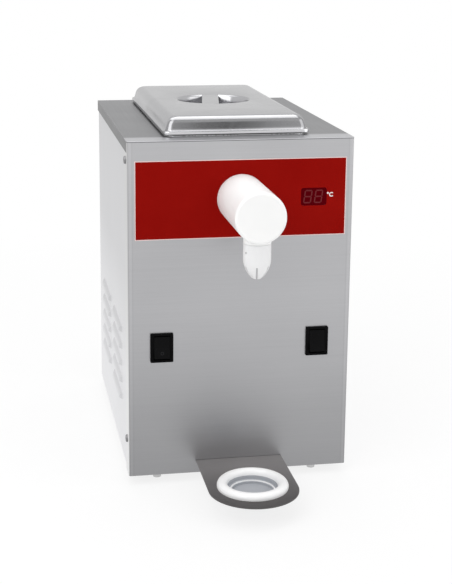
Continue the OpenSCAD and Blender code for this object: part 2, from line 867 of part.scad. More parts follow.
// A switch housing with its pocket, at x = 0
module switch_housing() {
    pocket_w = rocker_w + 2 * clear;
    difference() {
        union() {
            translate([0, front_y, switch_z]) rotate([90, 0, 0]) linear_extrude(bezel_t)
                round_rect(bezel_w, bezel_h, bezel_r);
            span([-switch_body_w / 2, front_y - bezel_t / 2, switch_z - switch_body_h / 2],
                [switch_body_w / 2, front_y + switch_depth, switch_z + switch_body_h / 2]);
            for (sx = [-1, 1])
                translate([sx * switch_body_w / 4 - 2, front_y + switch_depth - cut,
                    switch_z - 0.4])
                    cube([4, 8 + cut, 0.8]);
        }
        span([-pocket_w / 2, front_y - bezel_t - cut, switch_z - pocket_h / 2],
            [pocket_w / 2, pocket_back, switch_z + pocket_h / 2]);
        translate([-pin_l / 2, pivot_y, switch_z]) rod_x(rocker_pin_d + 2 * hole_gap, pin_l);
    }
}

// A rocker at x = 0, pressed in at its top
module rocker() {
    half = rocker_h / 2;
    translate([-rocker_w / 2, pivot_y, switch_z]) rotate([-rocker_tilt, 0, 0])
        difference() {
            union() {
                rotate([90, 0, 90]) linear_extrude(rocker_w) polygon([
                    [-rocker_tip, half], [1.6 - rocker_tip, 0], [-rocker_tip, -half],
                    [1, -half], [1, half]]);
                rod_x(2 * rocker_pin_d, rocker_w);
            }
            translate([-cut, 0, 0]) rod_x(rocker_pin_d + 2 * run_fit, rocker_w + 2 * cut);
        }
}

module power_switch_housing() {
    color(black_plastic) translate([-switch_x, 0, 0]) switch_housing();
}

module power_rocker() {
    color("black") translate([-switch_x, 0, 0]) rocker();
}

module dispense_switch_housing() {
    color(black_plastic) translate([switch_x, 0, 0]) switch_housing();
}

module dispense_rocker() {
    color("black") translate([switch_x, 0, 0]) rocker();
}

module rocker_pins() {
    color("silver") for (sx = [-1, 1])
        translate([sx * switch_x - pin_l / 2, pivot_y, switch_z]) rod_x(rocker_pin_d, pin_l);
}

// The raised part of the lid, or its hollow when a wall is taken off
module lid_form(wall) {
    for (i = [0 : len(lid_steps) - 2]) {
        low = lid_steps[i];
        rise = lid_steps[i + 1] - low;
        in = low[0] + wall;
        translate([0, 0, low[1] - wall])
            lean_block(lid_w - 2 * in, lid_l - 2 * in, form_r + rim_w - in, rise[0], rise[1]);
        // a key that ties this step to the one below it
        key_in = in + hundredth(1.2 * key_h * rise[0] / rise[1]);
        if (i > 0) translate([0, 0, low[1] - wall - key_h]) linear_extrude(2 * key_h)
            round_rect(lid_w - 2 * key_in, lid_l - 2 * key_in, form_r + rim_w - key_in);
    }
}

module lid() {
    bowl_r = (recess_d * recess_d / 4 + recess_h * recess_h) / (2 * recess_h);
    bowl_mid = lid_h - recess_h + bowl_r;
    color(bright_steel) translate([0, tank_y, lid_z]) {
        difference() {
            union() {
                linear_extrude(rim_h) round_rect(lid_w, lid_l, lid_r);
                lid_form(0);
            }
            difference() {
                lid_form(lid_t);
                translate([0, 0, bowl_mid]) sphere(bowl_r + lid_t, $fn = 128);
            }
            translate([0, 0, bowl_mid]) sphere(bowl_r, $fn = 128);
        }
        translate([-strap_w / 2, -recess_d / 2 - lid_t, lid_h - strap_t])
            cube([strap_w, recess_d + 2 * lid_t, strap_t]);
    }
}

module lid_gasket() {
    color("whitesmoke") translate([0, tank_y, lid_z - gasket_t])
        rect_ring(lid_w - 2 * tank_rim_in - 1, lid_l - 2 * tank_rim_in - 1,
            lid_r - tank_rim_in, gasket_w, gasket_t);
}

module cream_tank() {
    rim_out = 2 * tank_rim_in;
    color(bright_steel) difference() {
        translate([0, tank_y, 0]) {
            translate([0, 0, top_z]) linear_extrude(tank_t)
                round_rect(lid_w - rim_out, lid_l - rim_out, lid_r - tank_rim_in);
            translate([0, 0, tank_under]) linear_extrude(top_z + tank_t - tank_under)
                round_rect(tank_w, tank_l, tank_r);
        }
        translate([0, tank_y, tank_floor]) linear_extrude(tank_depth + tank_t + cut)
            round_rect(tank_w - 2 * tank_t, tank_l - 2 * tank_t, tank_r - tank_t);
        translate([drive_x, pump_y, tank_under - cut])
            rod_z(seal_d + 2 * hole_gap, tank_t + 2 * cut);
        translate([0, front_y, outlet_z]) rod_y(tube_d + 2 * hole_gap, tank_front - front_y + cut);
    }
}

module tank_insulation() {
    pocket_h = pipe_d + 3;
    color("khaki") difference() {
        translate([-foam_w / 2, tank_y - foam_l / 2, foam_under])
            cube([foam_w, foam_l, top_z - sheet_t - clear - foam_under]);
        translate([0, tank_y, tank_under - clear]) linear_extrude(tank_depth)
            round_rect(tank_w + 2 * clear, tank_l + 2 * clear, tank_r + clear);
        span([-evap_x - pipe_d, evap_turn - evap_pitch, tank_under - pocket_h],
            [evap_x + pipe_d, evap_end + pipe_d, tank_under]);
        for (sx = [-1, 1]) translate([sx * evap_x, evap_end, foam_under - cut])
            rod_z(pipe_d + 2 * clear, foam_t + cut);
        translate([drive_x, pump_y, foam_under - cut]) rod_z(well_d, foam_t + cut);
        translate([0, front_y, outlet_z]) rod_y(tube_d + 2 * clear, tank_front - front_y + cut);
    }
}

module tank_shelf() {
    start_y = front_y + shelf_front;
    end_y = rear_in - flange_w;
    color(steel) difference() {
        span([-side_in, start_y, shelf_under - shelf_edge], [side_in, end_y, foam_under]);
        span([-side_in + shelf_t, start_y - cut, shelf_under - shelf_edge - cut],
            [side_in - shelf_t, end_y + cut, shelf_under]);
        translate([drive_x, pump_y, shelf_under - cut]) rod_z(well_d, shelf_t + 2 * cut);
        at_motor_bolts() rod_z(motor_bolt_d + 2 * hole_gap, foam_under - shelf_under + cut);
        for (sx = [-1, 1]) translate([sx * evap_x, evap_end, shelf_under - cut])
            rod_z(pipe_d + 2 * clear, shelf_t + 2 * cut);
    }
}

// A half-turn bend of pipe that opens along -Y, between x = -r and x = r
module half_bend(r, d) {
    rotate_extrude(angle = 180) translate([r, 0]) circle(d = d);
}

module evaporator_coil() {
    bend_r = evap_pitch / 2;
    color(copper) {
        for (i = [0 : 5])
            translate([-evap_x + i * evap_pitch, evap_turn, evap_z])
                rod_y(pipe_d, i == 0 || i == 5 ? evap_l : evap_l - evap_pitch);
        for (i = [0 : 2 : 4])
            translate([-evap_x + bend_r + i * evap_pitch, evap_turn, evap_z])
                mirror([0, 1, 0]) half_bend(bend_r, pipe_d);
        for (i = [1 : 2 : 3])
            translate([-evap_x + bend_r + i * evap_pitch, evap_end - evap_pitch, evap_z])
                half_bend(bend_r, pipe_d);
        for (sx = [-1, 1]) translate([sx * evap_x, evap_end, shelf_under]) {
            rod_z(pipe_d, evap_z - shelf_under);
            translate([0, 0, evap_z - shelf_under]) sphere(d = 1.02 * pipe_d);
        }
    }
}

module temperature_probe() {
    color("silver") translate([0, evap_turn + evap_l / 3, tank_under - probe_d / 2 - hole_gap])
        rod_y(probe_d, probe_l);
}

module pump_body() {
    color("ivory") difference() {
        span([-pump_w / 2, pump_y - pump_l / 2, tank_floor],
            [pump_w / 2, pump_y + pump_l / 2, pump_top]);
        for (x = [drive_x, idler_x]) translate([x, pump_y, pump_deck])
            rod_z(2 * chamber_r, gear_t + 2 * clear + cut);
        for (sy = [-1, 1]) translate([0, pump_y + sy * port_off, pump_deck])
            rod_z(port_d, gear_t + 2 * clear + cut);
        translate([drive_x, pump_y, tank_floor - cut]) rod_z(shaft_hole, pump_floor + 2 * cut);
        translate([idler_x, pump_y, tank_floor + 2])
            rod_z(idler_pin_d + 2 * hole_gap, pump_floor);
        translate([0, pump_y + port_off, pump_deck + gear_t / 2]) rod_y(port_d, pump_l);
        at_pump_screws() translate([0, 0, tank_floor + 2 - cover_top])
            rod_z(pump_screw_d + 2 * hole_gap, pump_top);
    }
}

// The axes of the pump's screws, on the cover
module at_pump_screws() {
    for (sx = [-1, 1], sy = [-1, 1])
        translate([sx * pump_screw_at.x, pump_y + sy * pump_screw_at.y, cover_top]) children();
}

module pump_cover() {
    color("ivory") difference() {
        span([-pump_w / 2, pump_y - pump_l / 2, pump_top],
            [pump_w / 2, pump_y + pump_l / 2, cover_top]);
        for (sy = [-1, 1]) translate([0, pump_y + sy * port_off, pump_top - cut])
            rod_z(port_d, cover_t + 2 * cut);
        at_pump_screws() translate([0, 0, -cover_t - cut])
            rod_z(pump_screw_d + 2 * hole_gap, cover_t + 2 * cut);
    }
}

module pump_screws() {
    color("silver") at_pump_screws() cap_screw(pump_screw_d, cover_top - tank_floor - 3);
}

// A spur gear on z = 0, with a tooth on +X
module spur_gear(bore) {
    step = 360 / gear_teeth;
    corners = [[gear_root_r, -0.31], [gear_tip_r, -0.09], [gear_tip_r, 0.09],
        [gear_root_r, 0.31]];
    difference() {
        linear_extrude(gear_t) polygon([for (i = [0 : gear_teeth - 1], c = corners)
            c[0] * [cos((i + c[1]) * step), sin((i + c[1]) * step)]]);
        translate([0, 0, -cut]) rod_z(bore, gear_t + 2 * cut);
    }
}

module drive_gear() {
    color("white") translate([drive_x, pump_y, pump_deck + clear])
        spur_gear(shaft_d + 2 * hole_gap);
}

module idler_gear() {
    color("white") translate([idler_x, pump_y, pump_deck + clear])
        rotate(180 + 180 / gear_teeth) spur_gear(idler_pin_d + 2 * run_fit);
}

module idler_pin() {
    color("silver") translate([idler_x, pump_y, tank_floor + 2])
        rod_z(idler_pin_d, pump_top - tank_floor - 2 - clear / 2);
}

module drive_shaft() {
    color("silver") translate([drive_x, pump_y, joint_z])
        rod_z(shaft_d, pump_deck + gear_t - joint_z);
}

module shaft_coupling() {
    color(steel) translate([drive_x, pump_y, joint_z - coupling_l / 2]) difference() {
        rod_z(coupling_d, coupling_l);
        translate([0, 0, -cut]) rod_z(shaft_d + 2 * hole_gap, coupling_l + 2 * cut);
    }
}

module motor_shaft() {
    color("silver") translate([drive_x, pump_y, shelf_under - motor_h / 3])
        rod_z(shaft_d, joint_z - shelf_under + motor_h / 3 - hole_gap);
}

module shaft_seal() {
    color("black") translate([drive_x, pump_y, tank_under - seal_l]) difference() {
        rod_z(seal_d, seal_l + tank_t);
        translate([0, 0, -cut]) rod_z(shaft_hole, seal_l + tank_t + 2 * cut);
    }
}

// The axes of the motor's bolts, at the shelf's underside
module at_motor_bolts() {
    for (sx = [-1, 1], sy = [-1, 1])
        translate([drive_x + sx * motor_bolt_at, pump_y + sy * motor_bolt_at, shelf_under])
            children();
}

module pump_motor() {
    color("slategray") difference() {
        translate([drive_x, pump_y, shelf_under]) {
            translate([-motor_flange_w / 2, -motor_flange_w / 2, -motor_flange_t])
                cube([motor_flange_w, motor_flange_w, motor_flange_t]);
            translate([0, 0, -motor_h]) rod_z(motor_d, motor_h);
            translate([0, 0, -motor_h - 6]) rod_z(motor_d - 16, motor_h);
        }
        translate([drive_x, pump_y, shelf_under - motor_h / 3 - clear])
            rod_z(shaft_hole, motor_h);
        at_motor_bolts() translate([0, 0, -motor_flange_t - cut])
            rod_z(motor_bolt_d + 2 * hole_gap, motor_flange_t + 2 * cut);
    }
}

module motor_bolts() {
    color("silver") at_motor_bolts() translate([0, 0, -motor_flange_t])
        mirror([0, 0, 1]) cap_screw(motor_bolt_d, motor_flange_t + shelf_t);
}

module suction_strainer() {
    mesh_d = 2;
    color("white") translate([0, pump_y + pump_l / 2, pump_deck + gear_t / 2]) difference() {
        rod_y(strainer_d, strainer_l);
        translate([0, -cut, 0]) rod_y(port_d, strainer_l - 2 + cut);
        for (a = [0 : 60 : 300]) rotate([0, a, 0]) translate([port_d / 3, 0, 0])
            rod_y(mesh_d, strainer_l + cut);
    }
}

module air_valve_body() {
    color("white") translate([0, pump_y + port_off, cover_top]) difference() {
        rod_z(elbow_d, valve_h);
        translate([0, 0, 3]) rod_z(valve_stem_d + 2 * run_fit, valve_h);
        translate([0, 0, -cut]) rod_z(3, valve_h);
    }
}

module air_adjust_screw() {
    color("silver") translate([0, pump_y + port_off, cover_top + 3 + clear]) {
        rod_z(valve_stem_d, valve_h);
        translate([0, 0, valve_h - 3]) difference() {
            rod_z(valve_knob_d, valve_knob_h);
            for (a = [0 : 30 : 330]) rotate(a) translate([valve_knob_d / 2 + 0.5, 0, -cut])
                rod_z(2, valve_knob_h + 2 * cut);
        }
    }
}

module outlet_elbow() {
    rise = outlet_z - cover_top;
    run = pump_y - port_off - tube_back;
    color("white") translate([0, pump_y - port_off, cover_top]) difference() {
        union() {
            rod_z(elbow_d, rise);
            translate([0, 0, rise]) sphere(d = 1.02 * elbow_d);
            translate([0, -run, rise]) rod_y(elbow_d, run);
        }
        translate([0, 0, -cut]) rod_z(port_d, rise + cut);
        translate([0, -run - cut, rise]) rod_y(port_d, run + cut);
    }
}

module whip_tube() {
    groove_l = ring_d + 0.4;
    color(bright_steel) translate([0, tube_back - tube_l, outlet_z]) difference() {
        rod_y(tube_d, tube_l);
        translate([0, -cut, 0]) rod_y(tube_bore, tube_l - tube_end_t + cut);
        rod_y(port_d, tube_l + cut);
        translate([0, tube_out - ring_out - groove_l / 2, 0]) difference() {
            rod_y(tube_d + cut, groove_l);
            translate([0, -cut, 0]) rod_y(tube_d - 2 * ring_d - 2 * hole_gap, groove_l + 2 * cut);
        }
    }
}

module labyrinth_core() {
    core_l = tube_l - tube_end_t - 3;
    pitch = (core_l - disc_t) / (disc_n - 1);
    notch = core_d / 3;
    color("white") translate([0, tube_back - tube_l, outlet_z]) {
        rod_y(core_d, core_l);
        for (i = [0 : disc_n - 1]) translate([0, i * pitch, 0]) difference() {
            rod_y(tube_bore - 2 * hole_gap, disc_t);
            rotate([0, (i % 2) * 180, 0])
                span([tube_bore / 2 - notch, -cut, -notch], [tube_bore, disc_t + cut, notch]);
        }
    }
}

module tube_o_ring() {
    color("black") translate([0, front_y - ring_out, outlet_z]) rotate([90, 0, 0])
        rotate_extrude() translate([tube_d / 2 - ring_d / 2, 0]) circle(d = ring_d);
}

module nozzle_head() {
    head_l = nozzle_rear - front_y + nozzle_reach;
    edge = nozzle_d / 2 - nozzle_round;
    color(white_plastic) difference() {
        union() {
            translate([0, nozzle_rear, outlet_z]) rotate([90, 0, 0]) rotate_extrude() {
                square([nozzle_d / 2, head_l - nozzle_round]);
                square([edge, head_l]);
                translate([edge, head_l - nozzle_round]) circle(nozzle_round);
            }
            translate([0, spout_y, collar_z]) rod_z(spout_d, outlet_z - collar_z);
            translate([0, spout_y, collar_z - spigot_l]) rod_z(spigot_d, spigot_l + cut);
        }
        translate([0, front_y - nozzle_reach + nozzle_wall, outlet_z])
            rod_y(nozzle_bore, nozzle_reach);
        translate([0, spout_y, collar_z - spigot_l - cut]) rod_z(outlet_bore, nozzle_d);
    }
}

module star_tip() {
    taper = tip_l - tip_straight;
    drop = (spout_d - tip_end_d) / 2;
    arc_r = (taper * taper + drop * drop) / (2 * drop);
    throat_r = tip_end_d / 2 - tip_wall;
    color(white_plastic) translate([0, spout_y, tip_top]) difference() {
        rotate_extrude() difference() {
            union() {
                translate([0, -tip_straight]) square([spout_d / 2, tip_straight]);
                intersection() {
                    translate([spout_d / 2 - arc_r, -tip_straight]) circle(arc_r, $fn = 128);
                    translate([0, -tip_l]) square([spout_d / 2, taper + cut]);
                }
            }
            translate([-cut, -spigot_l - clear]) square([tip_bore / 2 + cut, spigot_l + cut]);
            polygon([[-cut, -spigot_l], [outlet_bore / 2, -spigot_l],
                [throat_r, -tip_l - cut], [-cut, -tip_l - cut]]);
        }
        for (a = [0 : 360 / slit_n : 359]) rotate(a + slit_turn)
            span([0, -slit_w / 2, -tip_l - cut], [spout_d, slit_w / 2, -tip_straight - 0.35 * taper]);
    }
}

module tray_rails() {
    rail_in = tray_w / 2 - rail_grip;
    color(steel) both_sides() difference() {
        span([rail_in, front_y + 2 * sheet_t, floor_z],
            [rail_in + rail_w, front_y + sheet_t + tray_in, tray_top + clear + 2]);
        span([rail_in - cut, front_y, tray_z - clear],
            [tray_w / 2 + clear, front_y + tray_in + 2 * sheet_t + cut, tray_top + clear]);
    }
}

module drip_tray() {
    color("gray") difference() {
        translate([0, spout_y, tray_z]) linear_extrude(tray_t) {
            circle(tray_w / 2, $fn = 128);
            translate([-tray_w / 2, 0]) square([tray_w, cup_out + sheet_t + tray_in]);
        }
        translate([0, cup_y, tray_z - cut]) rod_z(cup_hole_d, tray_t + 2 * cut);
    }
}

module drip_cup() {
    bowl_r = cup_in_r - cup_ledge;
    ledge_z = -0.35 * cup_drop;
    rim_z = cup_rise - cup_rim_r;
    color(white_plastic) translate([0, cup_y, tray_top]) rotate_extrude() {
        intersection() {
            translate([cup_rim_mid, rim_z]) circle(cup_rim_r);
            square([cup_d, cup_rise]);
        }
        translate([cup_in_r, ledge_z]) square([cup_wall, rim_z - ledge_z]);
        translate([bowl_r, ledge_z - cup_wall]) square([cup_out_r - bowl_r, cup_wall]);
        translate([bowl_r, -cup_drop]) square([cup_wall, cup_drop + ledge_z]);
        translate([0, -cup_drop]) square([bowl_r + cup_wall, cup_wall]);
    }
}

module compressor() {
    color("dimgray") difference() {
        union() {
            translate([can_x, can_y, can_z + can_base_t]) rotate_extrude() {
                square([can_d / 2, can_h - can_r]);
                square([can_d / 2 - can_r, can_h]);
                translate([can_d / 2 - can_r, can_h - can_r]) circle(can_r);
            }
            translate([can_x - can_base_w / 2, can_y - can_base_l / 2, can_z])
                cube([can_base_w, can_base_l, can_base_t]);
            translate([can_x - 0.2 * can_d, can_y - 0.63 * can_d, can_z + can_h / 3])
                cube([0.4 * can_d, 0.37 * can_d, can_h / 3]);
            translate([evap_x, evap_end, can_top - cut]) rod_z(pipe_d + 2, stub_h + cut);
            translate([stub_x, can_y, can_top - cut]) rod_z(pipe_d + 2, stub_h + cut);
        }
        at_can_bolts() rod_z(can_bolt_d + 2 * hole_gap, can_z + can_base_t + cut);
    }
}

module compressor_grommets() {
    color("black") at_can_bolts() translate([0, 0, floor_z]) difference() {
        rod_z(grommet_d, grommet_h);
        translate([0, 0, -cut]) rod_z(can_bolt_d + 2 * hole_gap, grommet_h + 2 * cut);
    }
}

module compressor_bolts() {
    color("silver") at_can_bolts() translate([0, 0, can_z + can_base_t])
        cap_screw(can_bolt_d, can_base_t + grommet_h + sheet_t);
}

module condenser() {
    tube_d = pipe_d + 1;
    pitch = (condenser_l - fin_t) / (fin_n - 1);
    color(copper) {
        for (i = [0 : fin_n - 1])
            translate([condenser_x, condenser_y + i * pitch, floor_z])
                cube([condenser_t, fin_t, condenser_h]);
        for (row = [0 : tube_rows - 1])
            translate([tube_x, condenser_y - tube_past, floor_z + tube_edge + row * tube_pitch])
                rod_y(tube_d, tube_end - condenser_y + tube_past);
        for (row = [0 : 2 : tube_rows - 2])
            translate([tube_x, condenser_y - tube_past, floor_z + tube_edge + (row + 0.5) * tube_pitch])
                rotate([180, -90, 0]) half_bend(tube_pitch / 2, tube_d);
        for (row = [1 : 2 : tube_rows - 2])
            translate([tube_x, tube_end, floor_z + tube_edge + (row + 0.5) * tube_pitch])
                rotate([0, -90, 0]) half_bend(tube_pitch / 2, tube_d);
    }
}

module fan_shroud() {
    ring_d = fan_d + 4;
    arm_w = 10;
    color("gray") {
        difference() {
            union() {
                span([condenser_in, condenser_y, floor_z],
                    [condenser_in + guard_t, condenser_y + condenser_l, floor_z + condenser_h]);
                translate([condenser_in, fan_y, fan_z]) rod_x(ring_d + 4, fan_ring_l);
            }
            translate([condenser_in - cut, fan_y, fan_z]) rod_x(ring_d, fan_ring_l + 2 * cut);
        }
        difference() {
            union() {
                span([guard_x - guard_t, fan_y - arm_w / 2, fan_z - ring_d / 2 - 1],
                    [guard_x, fan_y + arm_w / 2, fan_z + ring_d / 2 + 1]);
                span([guard_x - guard_t, fan_y - ring_d / 2 - 1, fan_z - arm_w / 2],
                    [guard_x, fan_y + ring_d / 2 + 1, fan_z + arm_w / 2]);
                translate([guard_x - guard_t, fan_y, fan_z]) rod_x(fan_motor_d, guard_t);
            }
            translate([guard_x - guard_t - cut, fan_y, fan_z])
                rod_x(fan_shaft_d + 2, guard_t + 2 * cut);
        }
    }
}

module fan_motor() {
    color("slategray") translate([guard_x, fan_y, fan_z]) difference() {
        rod_x(fan_motor_d, fan_motor_l);
        translate([-cut, 0, 0]) rod_x(fan_shaft_d + 2 * run_fit, fan_motor_l / 2 + cut);
    }
}

module fan_blade() {
    hub_d = 24;
    hub_l = 12;
    blade_w = 20;
    blade_t = 1.6;
    mid_x = condenser_in + (fan_ring_l - guard_t) / 2;
    color("black") translate([mid_x, fan_y, fan_z]) rotate([0, 90, 0]) {
        translate([0, 0, -hub_l / 2]) rod_z(hub_d, hub_l);
        rod_z(fan_shaft_d, guard_x - mid_x + fan_motor_l / 2 - clear);
        intersection() {
            for (i = [0 : fan_blades - 1]) rotate(i * 360 / fan_blades)
                translate([hub_d / 2 - 3, 0, 0]) rotate([fan_pitch, 0, 0])
                    translate([0, -blade_w / 2, -blade_t / 2]) cube([fan_d / 2, blade_w, blade_t]);
            translate([0, 0, -hub_l]) rod_z(fan_d, 2 * hub_l);
        }
    }
}

module filter_dryer() {
    color(copper) translate([-evap_x, evap_end, dryer_z]) {
        rod_z(pipe_d + 2, dryer_l);
        translate([0, 0, 10]) rod_z(dryer_d, dryer_l - 20);
    }
}

module refrigerant_pipes() {
    low_z = floor_z + tube_edge;
    high_z = low_z + (tube_rows - 1) * tube_pitch;
    over_z = can_top + stub_h + 1.7 * pipe_d;
    color(copper) {
        pipe([[tube_x, tube_end, low_z], [tube_x, evap_end, low_z],
            [-evap_x, evap_end, low_z], [-evap_x, evap_end, dryer_z]], pipe_d);
        translate([-evap_x, evap_end, dryer_z + dryer_l])
            rod_z(pipe_d, shelf_under - dryer_z - dryer_l);
        translate([evap_x, evap_end, can_top + stub_h])
            rod_z(pipe_d, shelf_under - can_top - stub_h);
        pipe([[stub_x, can_y, can_top + stub_h], [stub_x, can_y, over_z],
            [tube_x, can_y, over_z], [tube_x, can_y, high_z], [tube_x, tube_end, high_z]], pipe_d);
    }
}

module control_board() {
    board_x = side_in - control_off - board_t;
    start = [board_x, front_y + control_front, base_z + control_rise];
    color("darkgreen") translate(start) {
        cube([board_t, control_l, control_h]);
        for (y = [6, control_l - 6], z = [6, control_h - 6])
            translate([board_t / 2, y, z]) rod_x(6, control_off + board_t / 2);
        translate([-0.24 * control_l, 0.12 * control_l, 0.12 * control_h])
            cube([0.24 * control_l + board_t / 2, 0.34 * control_l, 0.47 * control_h]);
        translate([-0.15 * control_l, 0.58 * control_l, 0.16 * control_h])
            cube([0.15 * control_l + board_t / 2, 0.18 * control_l, 0.44 * control_h]);
        translate([-0.2 * control_l, 0.86 * control_l, 0.38 * control_h])
            rod_x(0.12 * control_l, 0.2 * control_l + board_t / 2);
    }
}

module cord_bush() {
    barb_l = 6;
    neck_l = sheet_t + 1;
    color("black") translate([-bush_x, back_y - sheet_t, base_z + bush_rise]) difference() {
        union() {
            rod_y(bush_d, (bush_out + sheet_t) / 2);
            rod_y(bush_d - 4, bush_out + sheet_t);
            translate([0, -neck_l, 0]) rod_y(bush_neck_d, neck_l + cut);
            translate([0, -sheet_t - barb_l, 0]) rod_y(bush_neck_d + 2, barb_l);
        }
        translate([0, -sheet_t - barb_l - cut, 0]) rod_y(bush_bore, barb_l + bush_out + 3 * sheet_t + cut);
    }
}

base_plate();
feet();
front_panel();
left_side_panel();
right_side_panel();
rear_panel();
top_plate();
side_screws();
rear_screws();
front_label();
display_window();
display_board();
power_switch_housing();
power_rocker();
dispense_switch_housing();
dispense_rocker();
rocker_pins();
lid();
lid_gasket();
cream_tank();
tank_insulation();
tank_shelf();
evaporator_coil();
temperature_probe();
pump_body();
pump_cover();
pump_screws();
drive_gear();
idler_gear();
idler_pin();
drive_shaft();
shaft_coupling();
motor_shaft();
shaft_seal();
pump_motor();
motor_bolts();
suction_strainer();
air_valve_body();
air_adjust_screw();
outlet_elbow();
whip_tube();
labyrinth_core();
tube_o_ring();
nozzle_head();
star_tip();
tray_rails();
drip_tray();
drip_cup();
compressor();
compressor_grommets();
compressor_bolts();
condenser();
fan_shroud();
fan_motor();
fan_blade();
filter_dryer();
refrigerant_pipes();
control_board();
cord_bush();
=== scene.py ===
import math

import bpy
from mathutils import Matrix, Vector


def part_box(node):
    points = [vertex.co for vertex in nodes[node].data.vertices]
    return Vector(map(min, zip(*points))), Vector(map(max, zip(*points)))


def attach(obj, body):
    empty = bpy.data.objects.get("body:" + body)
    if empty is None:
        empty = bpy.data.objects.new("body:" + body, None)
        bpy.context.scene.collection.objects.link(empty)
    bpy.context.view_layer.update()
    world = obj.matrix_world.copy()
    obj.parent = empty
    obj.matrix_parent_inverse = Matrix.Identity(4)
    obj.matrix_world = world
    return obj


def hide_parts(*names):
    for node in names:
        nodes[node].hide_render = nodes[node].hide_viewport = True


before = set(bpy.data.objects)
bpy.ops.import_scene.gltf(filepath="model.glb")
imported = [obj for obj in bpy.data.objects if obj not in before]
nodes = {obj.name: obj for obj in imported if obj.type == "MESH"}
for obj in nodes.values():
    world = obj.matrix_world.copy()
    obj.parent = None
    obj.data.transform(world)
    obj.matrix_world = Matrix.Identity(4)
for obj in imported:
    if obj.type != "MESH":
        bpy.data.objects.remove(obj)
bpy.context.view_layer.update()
print("frame loaded:", len(nodes), "nodes")


near = 1e-5  # places closer than this are taken as one
facing = 0.9  # a face looks along an axis when its normal's share of it is more than this
quarter = math.radians(90.0)


# small helpers for object mode and edit mode
def deselectAll():
    if bpy.context.object and bpy.context.object.mode != "OBJECT":
        bpy.ops.object.mode_set(mode="OBJECT")
    bpy.ops.object.select_all(action="DESELECT")


def holdPiece(piece):
    deselectAll()
    bpy.context.view_layer.objects.active = piece
    piece.select_set(True)


def startEdit(piece, selectMode="FACE"):
    holdPiece(piece)
    bpy.ops.object.mode_set(mode="EDIT")
    bpy.ops.mesh.select_mode(type=selectMode)
    bpy.ops.mesh.select_all(action="DESELECT")


def pickFaces(piece, test):
    bpy.ops.object.mode_set(mode="OBJECT")
    for poly in piece.data.polygons:
        poly.select = bool(test(poly.center, poly.normal))
    bpy.ops.object.mode_set(mode="EDIT")


def pickEdges(piece, test):
    bpy.ops.object.mode_set(mode="OBJECT")
    verts = piece.data.vertices
    for edge in piece.data.edges:
        a, b = edge.vertices
        edge.select = bool(test(verts[a].co, verts[b].co))
    bpy.ops.object.mode_set(mode="EDIT")


def pullOut(move):
    bpy.ops.mesh.extrude_region_move(TRANSFORM_OT_translate={"value": move})


# gives the piece its name and puts its place, turn and scale into its mesh
def settle(piece, name):
    holdPiece(piece)
    piece.name = name
    piece.data.name = name
    bpy.ops.object.transform_apply(location=True, rotation=True, scale=True)
    piece.select_set(False)
    return piece


def joinPieces(pieces, name):
    deselectAll()
    for piece in pieces:
        piece.select_set(True)
    bpy.context.view_layer.objects.active = pieces[0]
    bpy.ops.object.join()
    return settle(bpy.context.object, name)


def smoothPiece(piece, degrees):
    holdPiece(piece)
    bpy.ops.object.shade_smooth_by_angle(angle=math.radians(degrees))
    piece.select_set(False)


# each copy has its own mesh
def copyOf(piece, place, turn=(0, 0, 0)):
    copy = piece.copy()
    copy.data = piece.data.copy()
    bpy.context.scene.collection.objects.link(copy)
    copy.location = place
    copy.rotation_euler = turn
    return settle(copy, piece.name + "Copy")


def middleOf(low, high):
    return [(a + b) / 2 for a, b in zip(low, high)]


def halfOf(low, high):
    return [(b - a) / 2 for a, b in zip(low, high)]


# the camera stands where the photograph was taken
cameraSet = {
    "place": (-0.2647, -1.43675, 0.5943),
    "yaw": -9.652,
    "pitch": -12.44,
    "roll": -0.335,
    "sensor": 36.0,
    "lens": 79.79,
    "shiftX": 0.0361,
    "shiftY": -0.1243,
    "clipStart": 0.05,
    "clipEnd": 30.0,
}


def addCamera(values):
    data = bpy.data.cameras.new("photoCamera")
    data.sensor_width = values["sensor"]
    data.lens = values["lens"]
    data.shift_x = values["shiftX"]
    data.shift_y = values["shiftY"]
    data.clip_start = values["clipStart"]
    data.clip_end = values["clipEnd"]
    camera = bpy.data.objects.new("photoCamera", data)
    bpy.context.scene.collection.objects.link(camera)
    turn = Matrix.Rotation(math.radians(values["yaw"]), 3, "Z")
    turn = turn @ Matrix.Rotation(math.radians(values["pitch"]), 3, "X")
    turn = turn @ Matrix.Rotation(math.radians(values["roll"]), 3, "Y")
    turn = turn @ Matrix.Rotation(quarter, 3, "X")  # an unturned camera looks straight down
    camera.location = values["place"]
    camera.rotation_euler = turn.to_euler()
    bpy.context.scene.camera = camera


addCamera(cameraSet)
print("camera set")


# node helpers
def addNode(tree, kind, **sockets):
    node = tree.nodes.new(kind)
    for key, value in sockets.items():
        node.inputs[key].default_value = value
    return node


def firstNode(tree, kind):
    return [node for node in tree.nodes if node.type == kind][0]


def mathNode(tree, operation, first, second=None, clamp=False):
    node = tree.nodes.new("ShaderNodeMath")
    node.operation = operation
    node.use_clamp = clamp
    for index, source in enumerate((first, second)):
        if source is None:
            continue
        if isinstance(source, (int, float)):
            node.inputs[index].default_value = source
        else:
            tree.links.new(source, node.inputs[index])
    return node.outputs[0]


# source times gain plus base, kept between 0 and 1
def scaledValue(tree, source, gain, base):
    return mathNode(tree, "ADD", mathNode(tree, "MULTIPLY", source, gain), base, clamp=True)


# how far source is past start, times gain, kept between 0 and 1
def pastValue(tree, source, start, gain):
    past = mathNode(tree, "SUBTRACT", source, start, clamp=True)
    return mathNode(tree, "MULTIPLY", past, gain, clamp=True)


def sumOfSquares(tree, first, second):
    squares = [mathNode(tree, "MULTIPLY", side, side) for side in (first, second)]
    return mathNode(tree, "ADD", *squares)


# distance from a middle, counted up on both sides
def offMiddle(tree, source, middle):
    return mathNode(tree, "ABSOLUTE", mathNode(tree, "SUBTRACT", source, middle))


